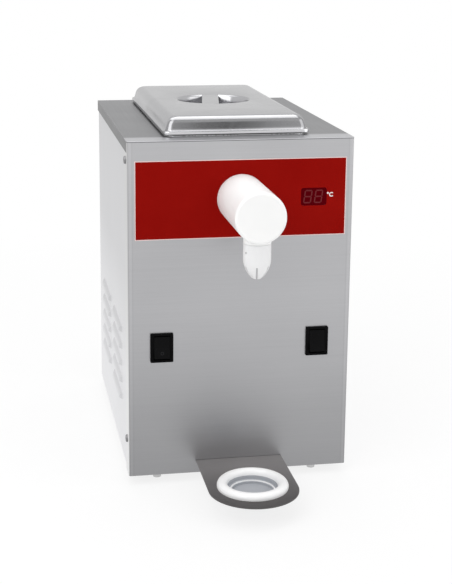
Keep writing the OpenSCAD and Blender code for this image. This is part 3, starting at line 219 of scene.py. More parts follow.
def noiseNode(tree, source, values):
    node = addNode(tree, "ShaderNodeTexNoise", **values)
    tree.links.new(source, node.inputs["Vector"])
    return node


def splitAxes(tree, source):
    split = addNode(tree, "ShaderNodeSeparateXYZ")
    tree.links.new(source, split.inputs["Vector"])
    return split.outputs


def rampNode(tree, source, stops):
    node = tree.nodes.new("ShaderNodeValToRGB")
    ramp = node.color_ramp
    while len(ramp.elements) < len(stops):
        ramp.elements.new(0.5)
    for element, (place, colour) in zip(ramp.elements, stops):
        element.position = place
        if isinstance(colour, (int, float)):
            colour = (colour, colour, colour)
        element.color = (colour[0], colour[1], colour[2], 1.0)
    tree.links.new(source, node.inputs["Fac"])
    return node.outputs["Color"]


def mixColours(tree, mask, first, second, blend="MIX"):
    node = tree.nodes.new("ShaderNodeMix")
    node.data_type = "RGBA"
    node.blend_type = blend
    factor = [s for s in node.inputs if s.name == "Factor" and s.type == "VALUE"][0]
    sideA = [s for s in node.inputs if s.name == "A" and s.type == "RGBA"][0]
    sideB = [s for s in node.inputs if s.name == "B" and s.type == "RGBA"][0]
    for socket, source in ((factor, mask), (sideA, first), (sideB, second)):
        if isinstance(source, (int, float)):
            socket.default_value = source
        elif isinstance(source, (tuple, list)):
            socket.default_value = (source[0], source[1], source[2], 1.0)
        else:
            tree.links.new(source, socket)
    return [s for s in node.outputs if s.type == "RGBA"][0]


def newGroup(name, inputs, outputs):
    tree = bpy.data.node_groups.new(name, "ShaderNodeTree")
    for direction, sockets in (("INPUT", inputs), ("OUTPUT", outputs)):
        for label, kind in sockets.items():
            tree.interface.new_socket(name=label, in_out=direction, socket_type="NodeSocket" + kind)
    start = tree.nodes.new("NodeGroupInput")
    end = tree.nodes.new("NodeGroupOutput")
    return tree, start, end


# fine rolled lines of brushed sheet, with slow cloudiness over them
grainSet = {
    "coarse": {"Scale": 1.0, "Detail": 3.0, "Roughness": 0.6},
    "fine": {"Scale": 3.7, "Detail": 2.0, "Roughness": 0.5},
    "cloud": {"Scale": 5.0, "Detail": 2.0, "Roughness": 0.45},
    "middle": 0.5,
}


def buildSheetGrain(values):
    tree, start, end = newGroup(
        "sheetGrain",
        {"Lines": "Vector", "Cloud": "Vector", "Depth": "Float"},
        {"Tone": "Float", "Grain": "Float"},
    )
    coarse = noiseNode(tree, start.outputs["Lines"], values["coarse"])
    fine = noiseNode(tree, start.outputs["Lines"], values["fine"])
    cloud = noiseNode(tree, start.outputs["Cloud"], values["cloud"])
    depth, middle = start.outputs["Depth"], values["middle"]
    both = mathNode(tree, "ADD", coarse.outputs["Fac"], fine.outputs["Fac"])
    both = mathNode(tree, "MULTIPLY", both, 0.5)
    swing = mathNode(tree, "MULTIPLY", mathNode(tree, "SUBTRACT", both, middle), depth)
    slow = mathNode(tree, "SUBTRACT", cloud.outputs["Fac"], middle)
    slow = mathNode(tree, "MULTIPLY", slow, depth)
    tone = mathNode(tree, "ADD", mathNode(tree, "ADD", swing, middle), slow, clamp=True)
    tree.links.new(tone, end.inputs["Tone"])
    tree.links.new(both, end.inputs["Grain"])
    return tree


# wiped marks and light dirt that make a surface a little uneven
marksSet = {
    "wipe": {"Detail": 4.0, "Roughness": 0.62, "Distortion": 0.8}, "wipeFrom": 0.42, "wipeGain": 3.0,
    "speck": {"Detail": 1.0}, "speckFrom": 0.7, "speckGain": 8.0, "speckFiner": 42.0,
}


def buildHandMarks(values):
    tree, start, end = newGroup(
        "handMarks",
        {"Vector": "Vector", "Size": "Float", "Amount": "Float"},
        {"Marks": "Float", "Specks": "Float"},
    )
    wipe = noiseNode(tree, start.outputs["Vector"], values["wipe"])
    speck = noiseNode(tree, start.outputs["Vector"], values["speck"])
    tree.links.new(start.outputs["Size"], wipe.inputs["Scale"])
    finer = mathNode(tree, "MULTIPLY", start.outputs["Size"], values["speckFiner"])
    tree.links.new(finer, speck.inputs["Scale"])
    spread = pastValue(tree, wipe.outputs["Fac"], values["wipeFrom"], values["wipeGain"])
    dots = pastValue(tree, speck.outputs["Fac"], values["speckFrom"], values["speckGain"])
    for source, label in ((spread, "Marks"), (dots, "Specks")):
        amount = mathNode(tree, "MULTIPLY", source, start.outputs["Amount"], clamp=True)
        tree.links.new(amount, end.inputs[label])
    return tree


# shallow spark texture and flow waves of moulded plastic
skinSet = {
    "spark": {"Detail": 2.0, "Roughness": 0.7},
    "flow": {"Scale": 22.0, "Detail": 2.0, "Distortion": 0.6},
}


def buildMouldSkin(values):
    tree, start, end = newGroup(
        "mouldSkin",
        {"Vector": "Vector", "Size": "Float"},
        {"Height": "Float", "Flow": "Float"},
    )
    spark = noiseNode(tree, start.outputs["Vector"], values["spark"])
    flow = noiseNode(tree, start.outputs["Vector"], values["flow"])
    tree.links.new(start.outputs["Size"], spark.inputs["Scale"])
    tree.links.new(spark.outputs["Fac"], end.inputs["Height"])
    tree.links.new(flow.outputs["Fac"], end.inputs["Flow"])
    return tree


sheetGrain = buildSheetGrain(grainSet)
handMarks = buildHandMarks(marksSet)
mouldSkin = buildMouldSkin(skinSet)

# values that the finishes share
finishSet = {
    "sheetSpan": (0.2, 0.8),  # where the grain's tone is darkest and lightest
    "flowSpan": (0.3, 0.7),  # the same for the flow waves of plastic
    "markRough": 0.08,  # how much rougher a marked sheet is
    "reliefDeep": 0.0002,
    "blend": 0.0006,  # how far a mask takes to rise
}


def newFinish(name):
    material = bpy.data.materials.new(name)
    material.use_nodes = True
    tree = material.node_tree
    tree.nodes.clear()
    out = addNode(tree, "ShaderNodeOutputMaterial")
    shader = addNode(tree, "ShaderNodeBsdfPrincipled")
    tree.links.new(shader.outputs["BSDF"], out.inputs["Surface"])
    place = addNode(tree, "ShaderNodeTexCoord")
    return material, tree, shader, place.outputs["Object"]


def groupNode(tree, group, **sockets):
    node = tree.nodes.new("ShaderNodeGroup")
    node.node_tree = group
    for key, value in sockets.items():
        node.inputs[key].default_value = value
    return node


def marksOn(tree, place, values):
    marks = groupNode(tree, handMarks, Size=values["markSize"], Amount=values["marks"])
    tree.links.new(place, marks.inputs["Vector"])
    return marks.outputs


def skinOn(tree, place, values):
    skin = groupNode(tree, mouldSkin, Size=values["skinSize"])
    tree.links.new(place, skin.inputs["Vector"])
    return skin.outputs


def stretched(tree, source, scale):
    node = addNode(tree, "ShaderNodeMapping", Scale=scale)
    tree.links.new(source, node.inputs["Vector"])
    return node.outputs["Vector"]


def addRelief(tree, shader, height, strength):
    bump = addNode(tree, "ShaderNodeBump", Strength=strength, Distance=finishSet["reliefDeep"])
    tree.links.new(height, bump.inputs["Height"])
    tree.links.new(bump.outputs["Normal"], shader.inputs["Normal"])


# a shade that changes along an axis: pairs of place in metres and shade, the same on both sides of x
def axisShade(tree, place, axis, pairs):
    source = splitAxes(tree, place)[axis]
    if axis == "X":
        source = mathNode(tree, "ABSOLUTE", source)
    low, high = pairs[0][0], pairs[-1][0]
    along = mathNode(tree, "SUBTRACT", source, low)
    along = mathNode(tree, "DIVIDE", along, high - low, clamp=True)
    return rampNode(tree, along, [((spot - low) / (high - low), shade) for spot, shade in pairs])


# multiplies a colour by painted shade and painted light that change along axes
def shaded(tree, place, tone, paintedShades):
    for axis, pairs in paintedShades.items():
        tone = mixColours(tree, 1.0, tone, axisShade(tree, place, axis, pairs), "MULTIPLY")
    return tone


# a mask that rises from 0 to 1 just past a place on an axis
def pastMask(tree, place, axis, start):
    return axisShade(tree, place, axis, [(start, 0.0), (start + finishSet["blend"], 1.0)])


# sheet metal: grain runs along the axis with the small number in lines
def sheetFinish(name, values):
    material, tree, shader, place = newFinish(name)
    grain = groupNode(tree, sheetGrain, Depth=values["depth"])
    tree.links.new(stretched(tree, place, values["lines"]), grain.inputs["Lines"])
    tree.links.new(place, grain.inputs["Cloud"])
    marks = marksOn(tree, place, values)
    darkest, lightest = finishSet["sheetSpan"]
    stops = [(darkest, values["dark"]), (lightest, values["light"])]
    tone = rampNode(tree, grain.outputs["Tone"], stops)
    tone = shaded(tree, place, tone, values.get("paintedShades", {}))
    if "levelFrom" in values:
        lit = shaded(tree, place, tone, {"Y": values["levelPaintedLight"]})
        tone = mixColours(tree, pastMask(tree, place, "Z", values["levelFrom"]), tone, lit)
    if "returnFrom" in values:
        edge = pastMask(tree, place, "X", values["returnFrom"])
        tone = mixColours(tree, edge, tone, axisShade(tree, place, "Z", values["returnLitTones"]))
    tree.links.new(tone, shader.inputs["Base Color"])
    rough = scaledValue(tree, grain.outputs["Grain"], values["roughSwing"], values["rough"])
    rough = scaledValue(tree, marks["Marks"], finishSet["markRough"], rough)
    tree.links.new(rough, shader.inputs["Roughness"])
    shader.inputs["Metallic"].default_value = 1.0
    graze = values.get("grazing", 1.0)
    shader.inputs["Specular Tint"].default_value = (graze, graze, graze, 1.0)
    addRelief(tree, shader, grain.outputs["Grain"], values["bump"])
    return material


# moulded plastic, rubber, paint and print
def plasticFinish(name, values):
    material, tree, shader, place = newFinish(name)
    skin = skinOn(tree, place, values)
    marks = marksOn(tree, place, values)
    darkest, lightest = finishSet["flowSpan"]
    tone = rampNode(tree, skin["Flow"], [(darkest, values["dark"]), (lightest, values["light"])])
    tone = shaded(tree, place, tone, values.get("paintedShades", {}))
    worn = mixColours(tree, marks["Specks"], tone, values["speck"])
    tree.links.new(worn, shader.inputs["Base Color"])
    rough = scaledValue(tree, marks["Marks"], values["roughSwing"], values["rough"])
    tree.links.new(rough, shader.inputs["Roughness"])
    shader.inputs["Specular IOR Level"].default_value = values.get("specular", 0.5)
    addRelief(tree, shader, skin["Height"], values["bump"])
    return material


def dress(material, *names):
    for name in names:
        mesh = nodes[name].data
        mesh.materials.clear()
        mesh.materials.append(material)


# sheets, steels and pipes
frontSheet = sheetFinish("frontSheet", {
    "lines": (5.0, 600.0, 620.0), "depth": 0.5, "dark": (0.43, 0.43, 0.443), "light": (0.53, 0.53, 0.543),
    "rough": 0.30, "roughSwing": 0.16, "bump": 0.12, "marks": 0.4, "markSize": 9.0,
    "paintedShades": {
        # painted shade: the front is painted darker towards the bottom
        "Z": [(0.0, 0.66), (0.08, 0.76), (0.13, 0.88), (0.2, 0.98), (0.38, 1.0)],
        # painted highlight and painted shade in lines along the rounded bends at the side edges
        "X": [(0.1160, 1.0), (0.1174, 0.93), (0.1180, 1.06), (0.1204, 1.06), (0.1211, 0.86), (0.1225, 0.9)],
    },
    # painted light: the side returns are painted in a lit tone like the side panels', lighter low down and
    # darker high up
    "returnFrom": 0.1216,
    "returnLitTones": [(0.0, 0.80), (0.12, 0.785), (0.24, 0.625), (0.39, 0.585)],
})
# painted light: the side panels are the front's brushed steel, painted much lighter for the light they
# catch
litSideSheet = sheetFinish("litSideSheet", {
    "lines": (600.0, 5.0, 620.0), "depth": 0.45, "dark": (0.74, 0.74, 0.755), "light": (0.86, 0.86, 0.875),
    "rough": 0.34, "roughSwing": 0.16, "bump": 0.12, "marks": 0.4, "markSize": 8.0,
    "paintedShades": {
        # painted reflection of the pale floor: lighter low down, darker high up
        "Z": [(0.0, 1.0), (0.12, 0.98), (0.24, 0.78), (0.39, 0.73)],
        # painted shade on the pressed louvre hoods
        "X": [(0.1213, 1.0), (0.1224, 0.83), (0.1240, 0.86), (0.1253, 0.97)],
    },
})
topSheet = sheetFinish("topSheet", {
    "lines": (620.0, 5.0, 600.0), "depth": 0.5,
    "dark": (0.148, 0.148, 0.154), "light": (0.195, 0.195, 0.202),
    "rough": 0.30, "roughSwing": 0.16, "bump": 0.12, "marks": 0.5, "markSize": 10.0,
    # painted shade: the side lips below the level face are painted darker
    "paintedShades": {"Z": [(0.3700, 0.62), (0.3819, 0.66), (0.3828, 1.0), (0.3840, 1.0)]},
    # painted light: the level face is painted lighter in front of the lid, with a painted highlight along
    # its front edge
    "levelFrom": 0.3822,
    "levelPaintedLight": [
        (-0.11225, 4.2), (-0.11190, 4.0), (-0.11150, 2.3), (-0.0900, 2.3), (-0.0820, 1.0), (0.0, 1.0),
    ],
})
rearSheet = sheetFinish("rearSheet", {
    "lines": (5.0, 600.0, 600.0), "depth": 0.5, "dark": (0.40, 0.40, 0.41), "light": (0.50, 0.50, 0.51),
    "rough": 0.34, "roughSwing": 0.16, "bump": 0.12, "marks": 0.6, "markSize": 8.0,
})
lidSheet = sheetFinish("lidSheet", {
    "lines": (260.0, 6.0, 260.0), "depth": 0.35, "grazing": 0.78,
    "dark": (0.40, 0.40, 0.412), "light": (0.48, 0.48, 0.492),
    "rough": 0.12, "roughSwing": 0.08, "bump": 0.05, "marks": 0.8, "markSize": 14.0,
    "paintedShades": {
        # painted highlight on the rim, painted shade on the front flank and front corners
        "Y": [(-0.0870, 1.4), (-0.0836, 1.4), (-0.0832, 0.66), (-0.0788, 0.66), (-0.0770, 1.0), (0.0, 1.0)],
    },
})
tankSheet = sheetFinish("tankSheet", {
    "lines": (300.0, 300.0, 8.0), "depth": 0.4, "dark": (0.54, 0.54, 0.55), "light": (0.64, 0.64, 0.65),
    "rough": 0.20, "roughSwing": 0.14, "bump": 0.08, "marks": 0.6, "markSize": 12.0,
})
traySheet = sheetFinish("traySheet", {
    "lines": (8.0, 520.0, 520.0), "depth": 0.5,
    "dark": (0.235, 0.226, 0.226), "light": (0.325, 0.314, 0.314),
    "rough": 0.52, "roughSwing": 0.16, "bump": 0.12, "marks": 0.7, "markSize": 14.0,
    # painted shade towards the tray's front and painted light towards its back
    "paintedShades": {"Y": [(-0.25, 0.42), (-0.225, 0.48), (-0.19, 0.76), (-0.14, 1.2), (-0.10, 1.3)]},
})
zincSheet = sheetFinish("zincSheet", {
    "lines": (40.0, 40.0, 40.0), "depth": 1.1, "dark": (0.30, 0.31, 0.32), "light": (0.46, 0.47, 0.47),
    "rough": 0.38, "roughSwing": 0.2, "bump": 0.06, "marks": 0.6, "markSize": 18.0,
})
screwSteel = sheetFinish("screwSteel", {
    "lines": (900.0, 900.0, 60.0), "depth": 0.5, "dark": (0.20, 0.20, 0.205), "light": (0.32, 0.32, 0.325),
    "rough": 0.32, "roughSwing": 0.2, "bump": 0.1, "marks": 0.6, "markSize": 60.0,
})
footSteel = sheetFinish("footSteel", {
    "lines": (700.0, 700.0, 90.0), "depth": 0.5, "dark": (0.50, 0.50, 0.50), "light": (0.66, 0.66, 0.66),
    "rough": 0.30, "roughSwing": 0.2, "bump": 0.1, "marks": 0.6, "markSize": 60.0,
})
shaftSteel = sheetFinish("shaftSteel", {
    "lines": (90.0, 90.0, 1400.0), "depth": 0.5, "dark": (0.46, 0.46, 0.47), "light": (0.62, 0.62, 0.63),
    "rough": 0.18, "roughSwing": 0.2, "bump": 0.1, "marks": 0.5, "markSize": 40.0,
})
copperPipe = sheetFinish("copperPipe", {
    "lines": (55.0, 55.0, 55.0), "depth": 1.2, "dark": (0.36, 0.13, 0.06), "light": (0.66, 0.30, 0.16),
    "rough": 0.26, "roughSwing": 0.25, "bump": 0.05, "marks": 0.9, "markSize": 30.0,
})
finSheet = sheetFinish("finSheet", {
    "lines": (300.0, 40.0, 900.0), "depth": 0.6, "dark": (0.50, 0.50, 0.51), "light": (0.68, 0.68, 0.69),
    "rough": 0.28, "roughSwing": 0.2, "bump": 0.08, "marks": 0.8, "markSize": 24.0,
})

# plastics, rubbers, paints and prints
whiteSkin = {"skinSize": 1300.0, "roughSwing": 0.12, "bump": 0.05, "marks": 0.25, "markSize": 16.0}
whitePlastic = plasticFinish("whitePlastic", {
    **whiteSkin, "rough": 0.34,
    "dark": (0.91, 0.91, 0.905), "light": (0.945, 0.945, 0.94), "speck": (0.84, 0.83, 0.81),
    # painted light: a cooler, slightly lighter white near the red label, cancelling the red light that the
    # label casts on the nozzle
    "paintedShades": {
        "Y": [(-0.205, (1.0, 1.0, 1.0)), (-0.185, (1.02, 1.04, 1.04)), (-0.118, (1.02, 1.058, 1.058))],
    },
})
# painted shade: the star tip is the nozzle's white plastic painted greyer
shadedTipPlastic = plasticFinish("shadedTipPlastic", {
    **whiteSkin, "rough": 0.36,
    "dark": (0.81, 0.81, 0.815), "light": (0.86, 0.86, 0.865), "speck": (0.76, 0.76, 0.75),
})

# the drip cup is white; its inside below the rim is painted greyer blue as painted shade, all but a pale
# line on its step
cupSet = {
    **whiteSkin, "rough": 0.34,
    "dark": (0.91, 0.91, 0.91), "light": (0.945, 0.945, 0.945), "speck": (0.84, 0.84, 0.84),
    # the painted shade colour of the inside
    "inside": (0.41, 0.425, 0.455), "wallRadius": 0.0272, "rimUp": 0.0097,
    "stepRadius": 0.0228, "stepWide": 0.0013, "stepUp": 0.0047,
}


def cupFinish(values):
    material = plasticFinish("cupPlastic", values)
    tree = material.node_tree
    shader = firstNode(tree, "BSDF_PRINCIPLED")
    split = splitAxes(tree, firstNode(tree, "TEX_COORD").outputs["Object"])
    low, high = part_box("drip_cup")
    midX, midY = middleOf(low, high)[:2]
    offX = mathNode(tree, "SUBTRACT", split["X"], midX)
    offY = mathNode(tree, "SUBTRACT", split["Y"], midY)
    away = mathNode(tree, "SQRT", sumOfSquares(tree, offX, offY))
    # painted shade mask: inside the wall and below the rim, less the step line
    inWall = mathNode(tree, "LESS_THAN", away, values["wallRadius"])
    underRim = mathNode(tree, "LESS_THAN", split["Z"], low[2] + values["rimUp"])
    insideShadeMask = mathNode(tree, "MULTIPLY", inWall, underRim)
    onStep = mathNode(tree, "LESS_THAN", offMiddle(tree, away, values["stepRadius"]), values["stepWide"])
    highUp = mathNode(tree, "GREATER_THAN", split["Z"], low[2] + values["stepUp"])
    onStep = mathNode(tree, "MULTIPLY", onStep, highUp)
    insideShadeMask = mathNode(tree, "SUBTRACT", insideShadeMask, onStep, clamp=True)
    tone = shader.inputs["Base Color"].links[0].from_socket
    tree.links.new(mixColours(tree, insideShadeMask, tone, values["inside"]), shader.inputs["Base Color"])
    return material


cupPlastic = cupFinish(cupSet)
switchPlastic = plasticFinish("switchPlastic", {
    "dark": (0.0012, 0.0012, 0.0014), "light": (0.0026, 0.0026, 0.0030), "speck": (0.010, 0.010, 0.010),
    "skinSize": 2600.0, "rough": 0.52, "roughSwing": 0.12, "bump": 0.25, "marks": 0.4, "markSize": 50.0,
    "specular": 0.05,
})
rockerPlastic = plasticFinish("rockerPlastic", {
    "dark": (0.0014, 0.0014, 0.0016), "light": (0.0030, 0.0030, 0.0034), "speck": (0.010, 0.010, 0.010),
    "skinSize": 3200.0, "rough": 0.40, "roughSwing": 0.16, "bump": 0.15, "marks": 0.5, "markSize": 45.0,
    "specular": 0.07,
})
pumpPlastic = plasticFinish("pumpPlastic", {
    "dark": (0.70, 0.69, 0.65), "light": (0.78, 0.77, 0.73), "speck": (0.55, 0.53, 0.48),
    "skinSize": 1500.0, "rough": 0.42, "roughSwing": 0.14, "bump": 0.1, "marks": 0.4, "markSize": 26.0,
})
gearPlastic = plasticFinish("gearPlastic", {
    "dark": (0.74, 0.74, 0.72), "light": (0.80, 0.80, 0.78), "speck": (0.5, 0.49, 0.46),
    "skinSize": 2200.0, "rough": 0.36, "roughSwing": 0.14, "bump": 0.08, "marks": 0.5, "markSize": 50.0,
})
blackRubber = plasticFinish("blackRubber", {
    "dark": (0.010, 0.010, 0.010), "light": (0.018, 0.018, 0.018), "speck": (0.07, 0.07, 0.065),
    "skinSize": 1800.0, "rough": 0.62, "roughSwing": 0.2, "bump": 0.2, "marks": 0.7, "markSize": 40.0,
})
gasketRubber = plasticFinish("gasketRubber", {
    "dark": (0.10, 0.10, 0.10), "light": (0.15, 0.15, 0.148), "speck": (0.06, 0.06, 0.06),
    "skinSize": 1600.0, "rough": 0.58, "roughSwing": 0.15, "bump": 0.12, "marks": 0.5, "markSize": 30.0,
})
foamBlock = plasticFinish("foamBlock", {
    "dark": (0.58, 0.46, 0.20), "light": (0.74, 0.62, 0.32), "speck": (0.42, 0.32, 0.13),
    "skinSize": 420.0, "rough": 0.85, "roughSwing": 0.1, "bump": 0.8, "marks": 1.0, "markSize": 14.0,
})
boardGreen = plasticFinish("boardGreen", {
    "dark": (0.010, 0.09, 0.035), "light": (0.020, 0.14, 0.055), "speck": (0.55, 0.5, 0.3),
    "skinSize": 1100.0, "rough": 0.32, "roughSwing": 0.2, "bump": 0.15, "marks": 1.0, "markSize": 60.0,
})
motorPaint = plasticFinish("motorPaint", {
    "dark": (0.15, 0.165, 0.18), "light": (0.20, 0.215, 0.23), "speck": (0.35, 0.35, 0.35),
    "skinSize": 700.0, "rough": 0.36, "roughSwing": 0.2, "bump": 0.25, "marks": 0.5, "markSize": 16.0,
})
blackPaint = plasticFinish("blackPaint", {
    "dark": (0.010, 0.010, 0.011), "light": (0.018, 0.018, 0.019), "speck": (0.16, 0.15, 0.14),
    "skinSize": 600.0, "rough": 0.30, "roughSwing": 0.22, "bump": 0.3, "marks": 0.5, "markSize": 14.0,
})
fanPlastic = plasticFinish("fanPlastic", {
    "dark": (0.014, 0.014, 0.015), "light": (0.022, 0.022, 0.023), "speck": (0.12, 0.11, 0.10),
    "skinSize": 1500.0, "rough": 0.44, "roughSwing": 0.2, "bump": 0.1, "marks": 0.8, "markSize": 22.0,
})

# printed film of the front label, with a thin pale line round its edge
labelSet = {
    "edge": 0.0008, "line": (0.80, 0.62, 0.60), "specular": 0.03,
    "red": (0.246, 0.0026, 0.0012), "redLight": (0.264, 0.0036, 0.0018),
    "skinSize": 1100.0, "rough": 0.42, "roughSwing": 0.12, "bump": 0.06, "marks": 0.5, "markSize": 10.0,
}


def labelFinish(values):
    material, tree, shader, place = newFinish("labelFilm")
    low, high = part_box("front_label")
    midX, midZ = middleOf(low, high)[::2]
    halfX, halfZ = halfOf(low, high)[::2]
    split = splitAxes(tree, place)
    offX = offMiddle(tree, split["X"], midX)
    offZ = offMiddle(tree, split["Z"], midZ)
    pastX = mathNode(tree, "GREATER_THAN", offX, halfX - values["edge"])
    pastZ = mathNode(tree, "GREATER_THAN", offZ, halfZ - values["edge"])
    rim = mathNode(tree, "MAXIMUM", pastX, pastZ)
    marks = marksOn(tree, place, values)
    skin = skinOn(tree, place, values)
    darkest, lightest = finishSet["flowSpan"]
    red = rampNode(tree, skin["Flow"], [(darkest, values["red"]), (lightest, values["redLight"])])
    tree.links.new(mixColours(tree, rim, red, values["line"]), shader.inputs["Base Color"])
    rough = scaledValue(tree, marks["Marks"], values["roughSwing"], values["rough"])
    tree.links.new(rough, shader.inputs["Roughness"])
    shader.inputs["Specular IOR Level"].default_value = values["specular"]
    addRelief(tree, shader, skin["Height"], values["bump"])
    return material


labelFilm = labelFinish(labelSet)
windowFilm = plasticFinish("windowFilm", {
    "dark": (0.072, 0.0004, 0.0022), "light": (0.090, 0.0008, 0.0034), "speck": (0.10, 0.01, 0.01),
    "skinSize": 1500.0, "rough": 0.3, "roughSwing": 0.12, "bump": 0.04, "marks": 0.5, "markSize": 60.0,
    "specular": 0.0,
})
smallSkin = {"skinSize": 2500.0, "roughSwing": 0.1, "bump": 0.05, "marks": 0.3, "markSize": 80.0}
digitFilm = plasticFinish("digitFilm", {
    **smallSkin, "rough": 0.4, "specular": 0.06,
    "dark": (0.120, 0.0150, 0.0180), "light": (0.150, 0.0210, 0.0240), "speck": (0.18, 0.03, 0.03),
})
markPlastic = plasticFinish("markPlastic", {
    **smallSkin, "rough": 0.5, "specular": 0.1,
    "dark": (0.020, 0.020, 0.022), "light": (0.030, 0.030, 0.032), "speck": (0.05, 0.05, 0.05),
})
studPlastic = plasticFinish("studPlastic", {
    **smallSkin, "rough": 0.4,
    "dark": (0.46, 0.46, 0.46), "light": (0.54, 0.54, 0.54), "speck": (0.4, 0.4, 0.4),
})
whitePrint = plasticFinish("whitePrint", {
    "dark": (0.84, 0.82, 0.80), "light": (0.90, 0.88, 0.86), "speck": (0.7, 0.6, 0.58),
    "skinSize": 2500.0, "rough": 0.5, "roughSwing": 0.1, "bump": 0.03, "marks": 0.2, "markSize": 80.0,
    "specular": 0.3,
})

dress(frontSheet, "front_panel")
dress(litSideSheet, "left_side_panel", "right_side_panel")
dress(topSheet, "top_plate")
dress(rearSheet, "rear_panel", "base_plate")
dress(screwSteel, "side_screws", "rear_screws", "pump_screws", "motor_bolts", "compressor_bolts")
dress(screwSteel, "rocker_pins", "idler_pin", "temperature_probe")
dress(footSteel, "feet")
dress(labelFilm, "front_label")
dress(windowFilm, "display_window")
dress(boardGreen, "display_board", "control_board")
dress(switchPlastic, "power_switch_housing", "dispense_switch_housing")
dress(rockerPlastic, "power_rocker", "dispense_rocker")
dress(lidSheet, "lid")
dress(gasketRubber, "lid_gasket")
dress(tankSheet, "cream_tank", "whip_tube")
dress(foamBlock, "tank_insulation")
dress(zincSheet, "tank_shelf", "tray_rails", "fan_shroud")
dress(copperPipe, "evaporator_coil", "filter_dryer", "refrigerant_pipes")
dress(pumpPlastic, "pump_body", "pump_cover", "suction_strainer", "air_valve_body")
dress(pumpPlastic, "outlet_elbow", "labyrinth_core")
dress(gearPlastic, "drive_gear", "idler_gear")
dress(shaftSteel, "drive_shaft", "motor_shaft", "shaft_coupling", "air_adjust_screw")
dress(blackRubber, "shaft_seal", "tube_o_ring", "compressor_grommets", "cord_bush")
dress(motorPaint, "pump_motor", "fan_motor")
dress(blackPaint, "compressor")
dress(whitePlastic, "nozzle_head")
dress(shadedTipPlastic, "star_tip")
dress(cupPlastic, "drip_cup")
dress(traySheet, "drip_tray")
dress(finSheet, "condenser")
dress(fanPlastic, "fan_blade")
print("finishes given to", len(nodes), "nodes")


# the lid: one drawn sheet with a rolled rim, steep flanks and a finger bowl under a strap
lidSet = {
    "rimRadius": 0.0072, "cornerSteps": 12, "rimHigh": 0.0026, "sheet": 0.0010,
    "merge": 0.000002, "smooth": 32.0,
    # steps from the rim's edge to the foot of the flank: how far in, how far up
    "rim": [(0.0002, 0.0005), (0.0006, 0.0003), (0.0010, 0.0), (0.0005, 0.0003), (0.0004, 0.0008)],
    "lean": 15.0, "shoulder": 0.0100, "shoulderSteps": 12,
    "bowlWide": 0.0900, "bowlDeep": 0.0130, "bowlSides": 96, "bowlLip": 0.0040, "bowlFloor": 0.0050,
    "bowlLean": 76.0, "bowlSteps": 8, "floorRings": (0.012, 0.012),
    "strapWide": 0.0195, "strapThick": 0.0015, "strapEase": 0.0005, "easeSteps": 3, "strapPast": 0.0012,
    "strapUnder": 0.00015, "strapTurn": -9.5, "strapAside": -0.0035,
}


# selects the level faces that pass the test, and turns those that look down
def turnUp(piece, test):
    bpy.ops.mesh.select_mode(type="FACE")
    pickFaces(piece, lambda centre, normal: normal.z < -facing and test(centre))
    bpy.ops.mesh.flip_normals()
    pickFaces(piece, lambda centre, normal: normal.z > facing and test(centre))


# steps along an arc that turns from one slope to another, as pairs of level and upright moves
def arcSteps(radius, fromAngle, toAngle, count):
    angles = [math.radians(fromAngle + (toAngle - fromAngle) * index / count) for index in range(count + 1)]
    steps = []
    for a, b in zip(angles, angles[1:]):
        level = radius * abs(math.sin(b) - math.sin(a))
        upright = radius * abs(math.cos(b) - math.cos(a))
        steps.append((level, upright))
    return steps


# the lid's outline from the rim's edge to the level top
def lidSteps(values, tall):
    lean = values["lean"]
    steps = list(values["rim"])
    arc = arcSteps(values["shoulder"], 90.0 - lean, 0.0, values["shoulderSteps"])
    rise = tall - values["rimHigh"] - sum(up for inward, up in steps + arc)
    half = (rise * math.tan(math.radians(lean)) / 2, rise / 2)
    return steps + [half, half] + arc


# rim, flanks and shoulder, open below and at the level top
def buildFlanks(values, low, high):
    midX, midY = middleOf(low, high)[:2]
    halfX, halfY = halfOf(low, high)[:2]
    deselectAll()
    bpy.ops.mesh.primitive_plane_add(size=1.0, location=(midX, midY, low[2]))
    shell = bpy.context.object
    shell.scale = (2 * halfX, 2 * halfY, 1.0)
    settle(shell, "lidShell")
    startEdit(shell)
    bpy.ops.mesh.select_all(action="SELECT")
    bpy.ops.mesh.bevel(offset=values["rimRadius"], segments=values["cornerSteps"], affect="VERTICES")
    pickFaces(shell, lambda centre, normal: True)
    pullOut((0, 0, values["rimHigh"]))
    for inward, upward in lidSteps(values, high[2] - low[2]):
        pullOut((0, 0, upward))
        shrink = ((halfX - inward) / halfX, (halfY - inward) / halfY, 1.0)
        bpy.ops.transform.resize(value=shrink, center_override=(midX, midY, high[2]))
        halfX -= inward
        halfY -= inward
    bpy.ops.mesh.delete(type="ONLY_FACE")
    bpy.ops.mesh.select_mode(type="FACE")
    pickFaces(shell, lambda centre, normal: centre.z < low[2] + near and abs(normal.z) > facing)
    bpy.ops.mesh.delete(type="ONLY_FACE")
    return shell


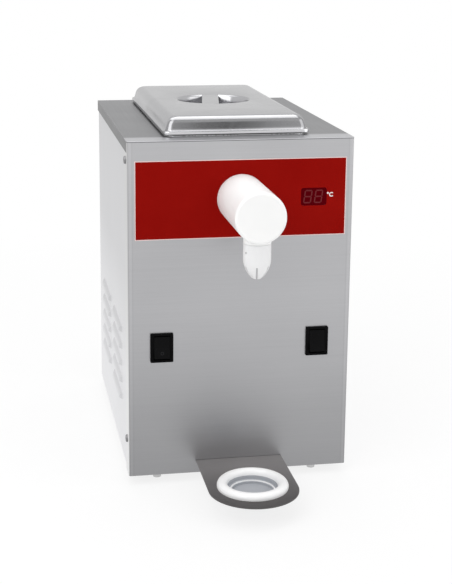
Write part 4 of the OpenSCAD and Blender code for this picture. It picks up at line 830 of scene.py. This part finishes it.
# closes the level top round a bowl with a rounded lip, a steep wall and a rounded floor
def pressBowl(shell, values, low, high):
    midX, midY = middleOf(low, high)[:2]
    top = high[2]
    radius = values["bowlWide"] / 2

    def offAxis(point):
        return math.hypot(point.x - midX, point.y - midY)

    def onTop(point):
        return abs(point.z - top) < near

    def onCircle(point):
        return onTop(point) and abs(offAxis(point) - radius) < near

    bpy.ops.mesh.primitive_circle_add(
        vertices=values["bowlSides"], radius=radius, location=(midX, midY, top),
    )
    pickEdges(shell, lambda a, b: onTop(a) and onTop(b))
    bpy.ops.mesh.select_mode(type="EDGE")
    bpy.ops.mesh.bridge_edge_loops()
    turnUp(shell, onTop)
    pickEdges(shell, lambda a, b: onCircle(a) and onCircle(b))
    bpy.ops.mesh.edge_face_add()
    turnUp(shell, lambda centre: offAxis(centre) < near)
    steep = values["bowlLean"]
    lip = arcSteps(values["bowlLip"], 0.0, steep, values["bowlSteps"])
    foot = arcSteps(values["bowlFloor"], steep, 0.0, values["bowlSteps"])
    drop = values["bowlDeep"] - sum(down for inward, down in lip + foot)
    wall = (drop / math.tan(math.radians(steep)), drop)
    floor = [(inward, 0.0) for inward in values["floorRings"]]
    for inward, down in lip + [wall] + foot + floor:
        bpy.ops.mesh.inset(thickness=inward, depth=-down, use_even_offset=True, use_boundary=True)
    bpy.ops.mesh.select_all(action="SELECT")
    bpy.ops.mesh.remove_doubles(threshold=values["merge"])
    bpy.ops.object.mode_set(mode="OBJECT")


def thickenSheet(shell, thick):
    sheet = shell.modifiers.new("sheet", "SOLIDIFY")
    sheet.thickness = thick
    sheet.offset = -1.0
    sheet.use_even_offset = True
    bpy.ops.object.modifier_apply(modifier=sheet.name)


# the flat strap across the bowl, with eased long edges
def buildStrap(values, low, high):
    midX, midY = middleOf(low, high)[:2]
    deselectAll()
    bpy.ops.mesh.primitive_cube_add(size=1.0, location=(0, 0, 0))
    strap = bpy.context.object
    strap.scale = (values["strapWide"], values["bowlWide"] + values["strapPast"], values["strapThick"])
    settle(strap, "lidStrap")
    startEdit(strap, "EDGE")
    pickEdges(strap, lambda a, b: abs(a.x - b.x) < near and abs(a.z - b.z) < near)
    bpy.ops.mesh.bevel(offset=values["strapEase"], segments=values["easeSteps"], affect="EDGES")
    bpy.ops.object.mode_set(mode="OBJECT")
    strap.rotation_euler = (0, 0, math.radians(values["strapTurn"]))
    strapZ = high[2] - values["strapUnder"] - values["strapThick"] / 2
    strap.location = (midX + values["strapAside"], midY, strapZ)
    return settle(strap, "lidStrap")


def buildLid(values):
    low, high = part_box("lid")
    shell = buildFlanks(values, low, high)
    pressBowl(shell, values, low, high)
    thickenSheet(shell, values["sheet"])
    strap = buildStrap(values, low, high)
    piece = joinPieces([shell, strap], "lidShell")
    smoothPiece(piece, values["smooth"])
    return piece


lidShell = buildLid(lidSet)
lidShell.data.materials.append(lidSheet)
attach(lidShell, "lid")
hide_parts("lid")
print("lid modelled:", len(lidShell.data.polygons), "faces")


# two seven-bar digits, unlit, on the face of the display window
digitSet = {
    "wide": 0.0088, "tall": 0.0146, "apart": 0.0117, "lean": 8.0,
    "bar": 0.0014, "barTip": 0.15, "thick": 0.00008, "gap": 0.0004,
    "aside": -0.0007, "up": 0.0001,  # from the window's middle
}


# one bar with pointed ends, lying along x about the origin
def buildBar(length, values):
    wide = values["bar"]
    deselectAll()
    bpy.ops.mesh.primitive_cube_add(size=1.0, location=(0, 0, 0))
    bar = bpy.context.object
    bar.scale = (length - wide, values["thick"], wide)
    settle(bar, "digitBar")
    startEdit(bar)
    for side in (-1, 1):
        bpy.ops.mesh.select_all(action="DESELECT")
        pickFaces(bar, lambda centre, normal: normal.x * side > facing)
        pullOut((side * wide / 2, 0, 0))
        bpy.ops.transform.resize(value=(1, 1, values["barTip"]), center_override=(side * length / 2, 0, 0))
    bpy.ops.object.mode_set(mode="OBJECT")
    return bar


def buildDigits(values):
    low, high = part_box("display_window")
    front = low[1]
    midX, midZ = middleOf(low, high)[::2]
    wide, tall, bar = values["wide"], values["tall"], values["bar"]
    lean = math.radians(values["lean"])
    level = buildBar(wide - bar - values["gap"], values)
    upright = buildBar(tall / 2 - bar / 2 - values["gap"], values)
    bars = []
    digitZ = midZ + values["up"]
    for side in (-0.5, 0.5):
        digitX = midX + values["aside"] + side * values["apart"]
        for rise in (-1, 0, 1):
            z = rise * (tall - bar) / 2
            bars.append(copyOf(level, (digitX + z * math.tan(lean), front, digitZ + z)))
        for rise in (-1, 1):
            for across in (-1, 1):
                z = rise * (tall - bar) / 4
                x = digitX + across * (wide - bar) / 2 + z * math.tan(lean)
                bars.append(copyOf(upright, (x, front, digitZ + z), (0, quarter + lean, 0)))
    bpy.data.objects.remove(level)
    bpy.data.objects.remove(upright)
    return joinPieces(bars, "displayDigits")


displayDigits = buildDigits(digitSet)
displayDigits.data.materials.append(digitFilm)
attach(displayDigits, "machine")
print("digits modelled")

# the degree mark printed beside the display
unitSet = {
    "text": "\u00b0C", "tall": 0.0051, "bold": 0.00030, "thick": 0.00006,
    "drawnSize": 0.01, "merge": 0.000001,
    "left": 0.0144, "bottom": -0.0005,  # from the window's middle
}


def buildUnit(values):
    deselectAll()
    bpy.ops.object.text_add(location=(0, 0, 0))
    unit = bpy.context.object
    unit.data.body = values["text"]
    unit.data.size = values["drawnSize"]
    unit.data.offset = values["bold"]
    unit.data.extrude = values["thick"]
    holdPiece(unit)
    bpy.ops.object.convert(target="MESH")
    unit = bpy.context.object
    points = [v.co for v in unit.data.vertices]
    left, bottom = min(p.x for p in points), min(p.y for p in points)
    scale = values["tall"] / (max(p.y for p in points) - bottom)
    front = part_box("front_label")[0][1]
    midX, midZ = middleOf(*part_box("display_window"))[::2]
    unitX = midX + values["left"] - left * scale
    unitZ = midZ + values["bottom"] - bottom * scale
    unit.scale = (scale, scale, 1.0)
    unit.rotation_euler = (quarter, 0, 0)
    unit.location = (unitX, front, unitZ)
    settle(unit, "degreeMark")
    startEdit(unit)
    bpy.ops.mesh.select_all(action="SELECT")
    bpy.ops.mesh.remove_doubles(threshold=values["merge"])
    bpy.ops.mesh.normals_make_consistent(inside=False)
    bpy.ops.object.mode_set(mode="OBJECT")
    return unit


degreeMark = buildUnit(unitSet)
degreeMark.data.materials.append(whitePrint)
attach(degreeMark, "machine")
print("degree mark modelled")

# a moulded ring low on the power rocker
ringSet = {
    "radius": 0.0017, "line": 0.00042, "thick": 0.00012, "sides": 40, "tilt": 74.4,
    "aside": 0.0002, "inward": 0.001605, "up": 0.006622,  # from the rocker's middle, front and foot
}


def buildRing(values):
    deselectAll()
    bpy.ops.mesh.primitive_circle_add(
        vertices=values["sides"], radius=values["radius"], fill_type="NGON", location=(0, 0, 0),
    )
    ring = bpy.context.object
    startEdit(ring)
    bpy.ops.mesh.select_all(action="SELECT")
    bpy.ops.mesh.inset(thickness=values["line"], depth=0.0)
    bpy.ops.mesh.delete(type="FACE")
    bpy.ops.mesh.select_all(action="SELECT")
    pullOut((0, 0, values["thick"]))
    bpy.ops.mesh.select_all(action="SELECT")
    bpy.ops.mesh.normals_make_consistent(inside=False)
    bpy.ops.object.mode_set(mode="OBJECT")
    ring.rotation_euler = (math.radians(values["tilt"]), 0, 0)
    low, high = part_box("power_rocker")
    ringX = middleOf(low, high)[0] + values["aside"]
    ring.location = (ringX, low[1] + values["inward"], low[2] + values["up"])
    return settle(ring, "rockerRing")


rockerRing = buildRing(ringSet)
rockerRing.data.materials.append(markPlastic)
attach(rockerRing, "power_rocker")
print("rocker ring modelled")

# a small index stud moulded on the star tip, with a raised rim and a dished end
studSet = {
    "angle": 206.2, "down": 0.0085, "wide": 0.0019, "out": 0.0004, "long": 0.0016, "sides": 24,
    "rimShare": 0.14, "rimRise": 0.00012, "dishShare": 0.12, "dishDeep": 0.00018,
}


def buildStud(values):
    wide = values["wide"]
    deselectAll()
    bpy.ops.mesh.primitive_cylinder_add(
        vertices=values["sides"], radius=wide / 2, depth=values["long"], location=(0, 0, 0),
    )
    stud = bpy.context.object
    startEdit(stud)
    pickFaces(stud, lambda centre, normal: normal.z > facing)
    bpy.ops.mesh.inset(thickness=wide * values["rimShare"], depth=values["rimRise"])
    bpy.ops.mesh.inset(thickness=wide * values["dishShare"], depth=-values["dishDeep"])
    bpy.ops.object.mode_set(mode="OBJECT")
    low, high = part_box("star_tip")
    midX, midY = middleOf(low, high)[:2]
    angle = math.radians(values["angle"])
    reach = halfOf(low, high)[0] + values["out"] - values["long"] / 2
    stud.rotation_euler = (0, quarter, angle)
    studZ = high[2] - values["down"]
    stud.location = (midX + reach * math.cos(angle), midY + reach * math.sin(angle), studZ)
    return settle(stud, "tipStud")


tipStud = buildStud(studSet)
tipStud.data.materials.append(studPlastic)
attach(tipStud, "star_tip")
print("tip stud modelled")

# pan-head screws with a cross recess, modelled once along z
screwSet = {
    "head": 0.0085, "rise": 0.0020, "sides": 32, "shank": 0.0040, "length": 0.0070,
    "dome": 0.0013, "domeSteps": 5, "slot": 0.0010, "slotLong": 0.0046, "slotDeep": 0.0012,
    "slotTurns": (20.0, 110.0), "smooth": 35.0,
}


def buildScrew(values):
    rise = values["rise"]
    deselectAll()
    bpy.ops.mesh.primitive_cylinder_add(
        vertices=values["sides"], radius=values["head"] / 2, depth=rise, location=(0, 0, rise / 2),
    )
    screw = settle(bpy.context.object, "panScrew")
    startEdit(screw)
    pickFaces(screw, lambda centre, normal: normal.z < -facing)
    bpy.ops.mesh.inset(thickness=(values["head"] - values["shank"]) / 2, depth=0.0)
    pullOut((0, 0, -values["length"]))
    bpy.ops.mesh.select_mode(type="EDGE")
    pickEdges(screw, lambda a, b: a.z > rise - near and b.z > rise - near)
    bpy.ops.mesh.bevel(offset=values["dome"], segments=values["domeSteps"], affect="EDGES")
    bpy.ops.object.mode_set(mode="OBJECT")
    for turn in values["slotTurns"]:
        deselectAll()
        bpy.ops.mesh.primitive_cube_add(size=1.0, location=(0, 0, rise))
        cutter = bpy.context.object
        cutter.scale = (values["slotLong"], values["slot"], 2 * values["slotDeep"])
        cutter.rotation_euler = (0, 0, math.radians(turn))
        settle(cutter, "slotCutter")
        cut = screw.modifiers.new("slot", "BOOLEAN")
        cut.operation = "DIFFERENCE"
        cut.object = cutter
        cut.solver = "EXACT"
        bpy.context.view_layer.objects.active = screw
        bpy.ops.object.modifier_apply(modifier=cut.name)
        bpy.data.objects.remove(cutter)
    smoothPiece(screw, values["smooth"])
    return screw


# the rear screws are at the same two heights as the side screws
def placeScrews(values):
    model = buildScrew(values)
    model.data.materials.append(screwSteel)
    radius = values["head"] / 2
    sideLow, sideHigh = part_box("side_screws")
    sideX, sideY = sideHigh[0] - values["rise"], middleOf(sideLow, sideHigh)[1]
    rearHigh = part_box("rear_screws")[1]
    rearX, rearY = rearHigh[0] - radius, rearHigh[1] - values["rise"]
    sides, rears = [], []
    for side in (-1, 1):
        for z in (sideLow[2] + radius, sideHigh[2] - radius):
            sides.append(copyOf(model, (side * sideX, sideY, z), (0, quarter * side, 0)))
            rears.append(copyOf(model, (side * rearX, rearY, z), (-quarter, 0, 0)))
    bpy.data.objects.remove(model)
    return joinPieces(sides, "sideScrewHeads"), joinPieces(rears, "rearScrewHeads")


sideScrewHeads, rearScrewHeads = placeScrews(screwSet)
for piece, node in ((sideScrewHeads, "side_screws"), (rearScrewHeads, "rear_screws")):
    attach(piece, "machine")
    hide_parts(node)
print("screws modelled")


# floor, backdrop and light
stageSet = {
    "floorSize": 8.0, "floorColour": (0.9, 0.9, 0.9), "floorMottle": 0.99, "floorRough": 0.9,
    "floorGrain": {"Scale": 30.0, "Detail": 3.0},
    # how white the floor is seen near the middle, and where it fades to pure white
    "nearWhite": 0.8, "fadeFrom": 0.35, "fadeTo": 1.1,
    "worldLight": 0.55, "darkSide": 0.10,
    # the dark patch of the room: middle in x and z of a direction, then half its size
    "darkPatch": (0.168, 0.42, 0.074, 0.27), "patchCore": 0.35,
    # name, power, size and place of each lamp
    "lamps": [
        ("keyLight", 22.0, 1.9, (-1.3, -1.1, 1.7)),
        ("fillLight", 10.0, 1.8, (1.5, -0.9, 1.0)),
        ("topLight", 14.0, 1.6, (0.0, 0.3, 2.0)),
    ],
    "lampTarget": (0, 0, 0.2),
}
pureWhite = (1, 1, 1, 1)


# rays that see the white background: straight from the camera, mirrored or through something
def seenRays(tree):
    path = addNode(tree, "ShaderNodeLightPath")
    seen = mathNode(tree, "MAXIMUM", path.outputs["Is Camera Ray"], path.outputs["Is Glossy Ray"])
    return mathNode(tree, "MAXIMUM", seen, path.outputs["Is Transmission Ray"])


def mixShaders(tree, mask, first, second, out):
    mix = addNode(tree, "ShaderNodeMixShader")
    tree.links.new(mask, mix.inputs["Fac"])
    tree.links.new(first, mix.inputs[1])
    tree.links.new(second, mix.inputs[2])
    tree.links.new(mix.outputs["Shader"], out.inputs["Surface"])


def buildFloor(values):
    deselectAll()
    bpy.ops.mesh.primitive_plane_add(size=values["floorSize"], location=(0, 0, 0))
    floor = settle(bpy.context.object, "studioFloor")
    material, tree, shader, place = newFinish("floorPaper")
    noise = noiseNode(tree, place, values["floorGrain"])
    pale = values["floorColour"]
    mottled = tuple(c * values["floorMottle"] for c in pale)
    darkest, lightest = finishSet["flowSpan"]
    tone = rampNode(tree, noise.outputs["Fac"], [(darkest, mottled), (lightest, pale)])
    tree.links.new(tone, shader.inputs["Base Color"])
    shader.inputs["Roughness"].default_value = values["floorRough"]
    away = addNode(tree, "ShaderNodeVectorMath")
    away.operation = "LENGTH"
    tree.links.new(place, away.inputs[0])
    fade = mathNode(tree, "SUBTRACT", away.outputs["Value"], values["fadeFrom"])
    fade = mathNode(tree, "DIVIDE", fade, values["fadeTo"] - values["fadeFrom"], clamp=True)
    fade = scaledValue(tree, fade, 1.0 - values["nearWhite"], values["nearWhite"])
    mask = mathNode(tree, "MULTIPLY", fade, seenRays(tree))
    white = addNode(tree, "ShaderNodeEmission", Color=pureWhite, Strength=1.0)
    out = firstNode(tree, "OUTPUT_MATERIAL")
    mixShaders(tree, mask, shader.outputs["BSDF"], white.outputs["Emission"], out)
    floor.data.materials.append(material)


def buildWorld(values):
    world = bpy.data.worlds.new("studioWorld")
    bpy.context.scene.world = world
    world.use_nodes = True
    tree = world.node_tree
    tree.nodes.clear()
    out = addNode(tree, "ShaderNodeOutputWorld")
    dim = addNode(tree, "ShaderNodeBackground", Color=pureWhite, Strength=values["worldLight"])
    white = addNode(tree, "ShaderNodeBackground", Strength=1.0)
    # polished steel mirrors the dark room in front of the set, between the floor and the lamps
    split = splitAxes(tree, addNode(tree, "ShaderNodeTexCoord").outputs["Generated"])
    midX, midZ, halfX, halfZ = values["darkPatch"]
    offX = mathNode(tree, "DIVIDE", mathNode(tree, "SUBTRACT", split["X"], midX), halfX)
    offZ = mathNode(tree, "DIVIDE", mathNode(tree, "SUBTRACT", split["Z"], midZ), halfZ)
    patch = rampNode(tree, sumOfSquares(tree, offX, offZ), [(values["patchCore"], 1.0), (1.0, 0.0)])
    ahead = mathNode(tree, "LESS_THAN", split["Y"], 0.0)
    mirrored = addNode(tree, "ShaderNodeLightPath").outputs["Is Glossy Ray"]
    room = mathNode(tree, "MULTIPLY", mathNode(tree, "MULTIPLY", ahead, patch), mirrored)
    shade = values["darkSide"]
    tree.links.new(mixColours(tree, room, pureWhite, (shade, shade, shade)), white.inputs["Color"])
    mixShaders(tree, seenRays(tree), dim.outputs["Background"], white.outputs["Background"], out)


def addLamps(values):
    for name, power, size, place in values["lamps"]:
        data = bpy.data.lights.new(name, "AREA")
        data.energy = power
        data.shape = "SQUARE"
        data.size = size
        lamp = bpy.data.objects.new(name, data)
        lamp.location = place
        aim = Vector(values["lampTarget"]) - Vector(place)
        lamp.rotation_euler = aim.to_track_quat("-Z", "Y").to_euler()
        bpy.context.scene.collection.objects.link(lamp)


buildFloor(stageSet)
buildWorld(stageSet)
addLamps(stageSet)
bpy.context.scene.view_settings.view_transform = "Standard"
print("stage and light ready")
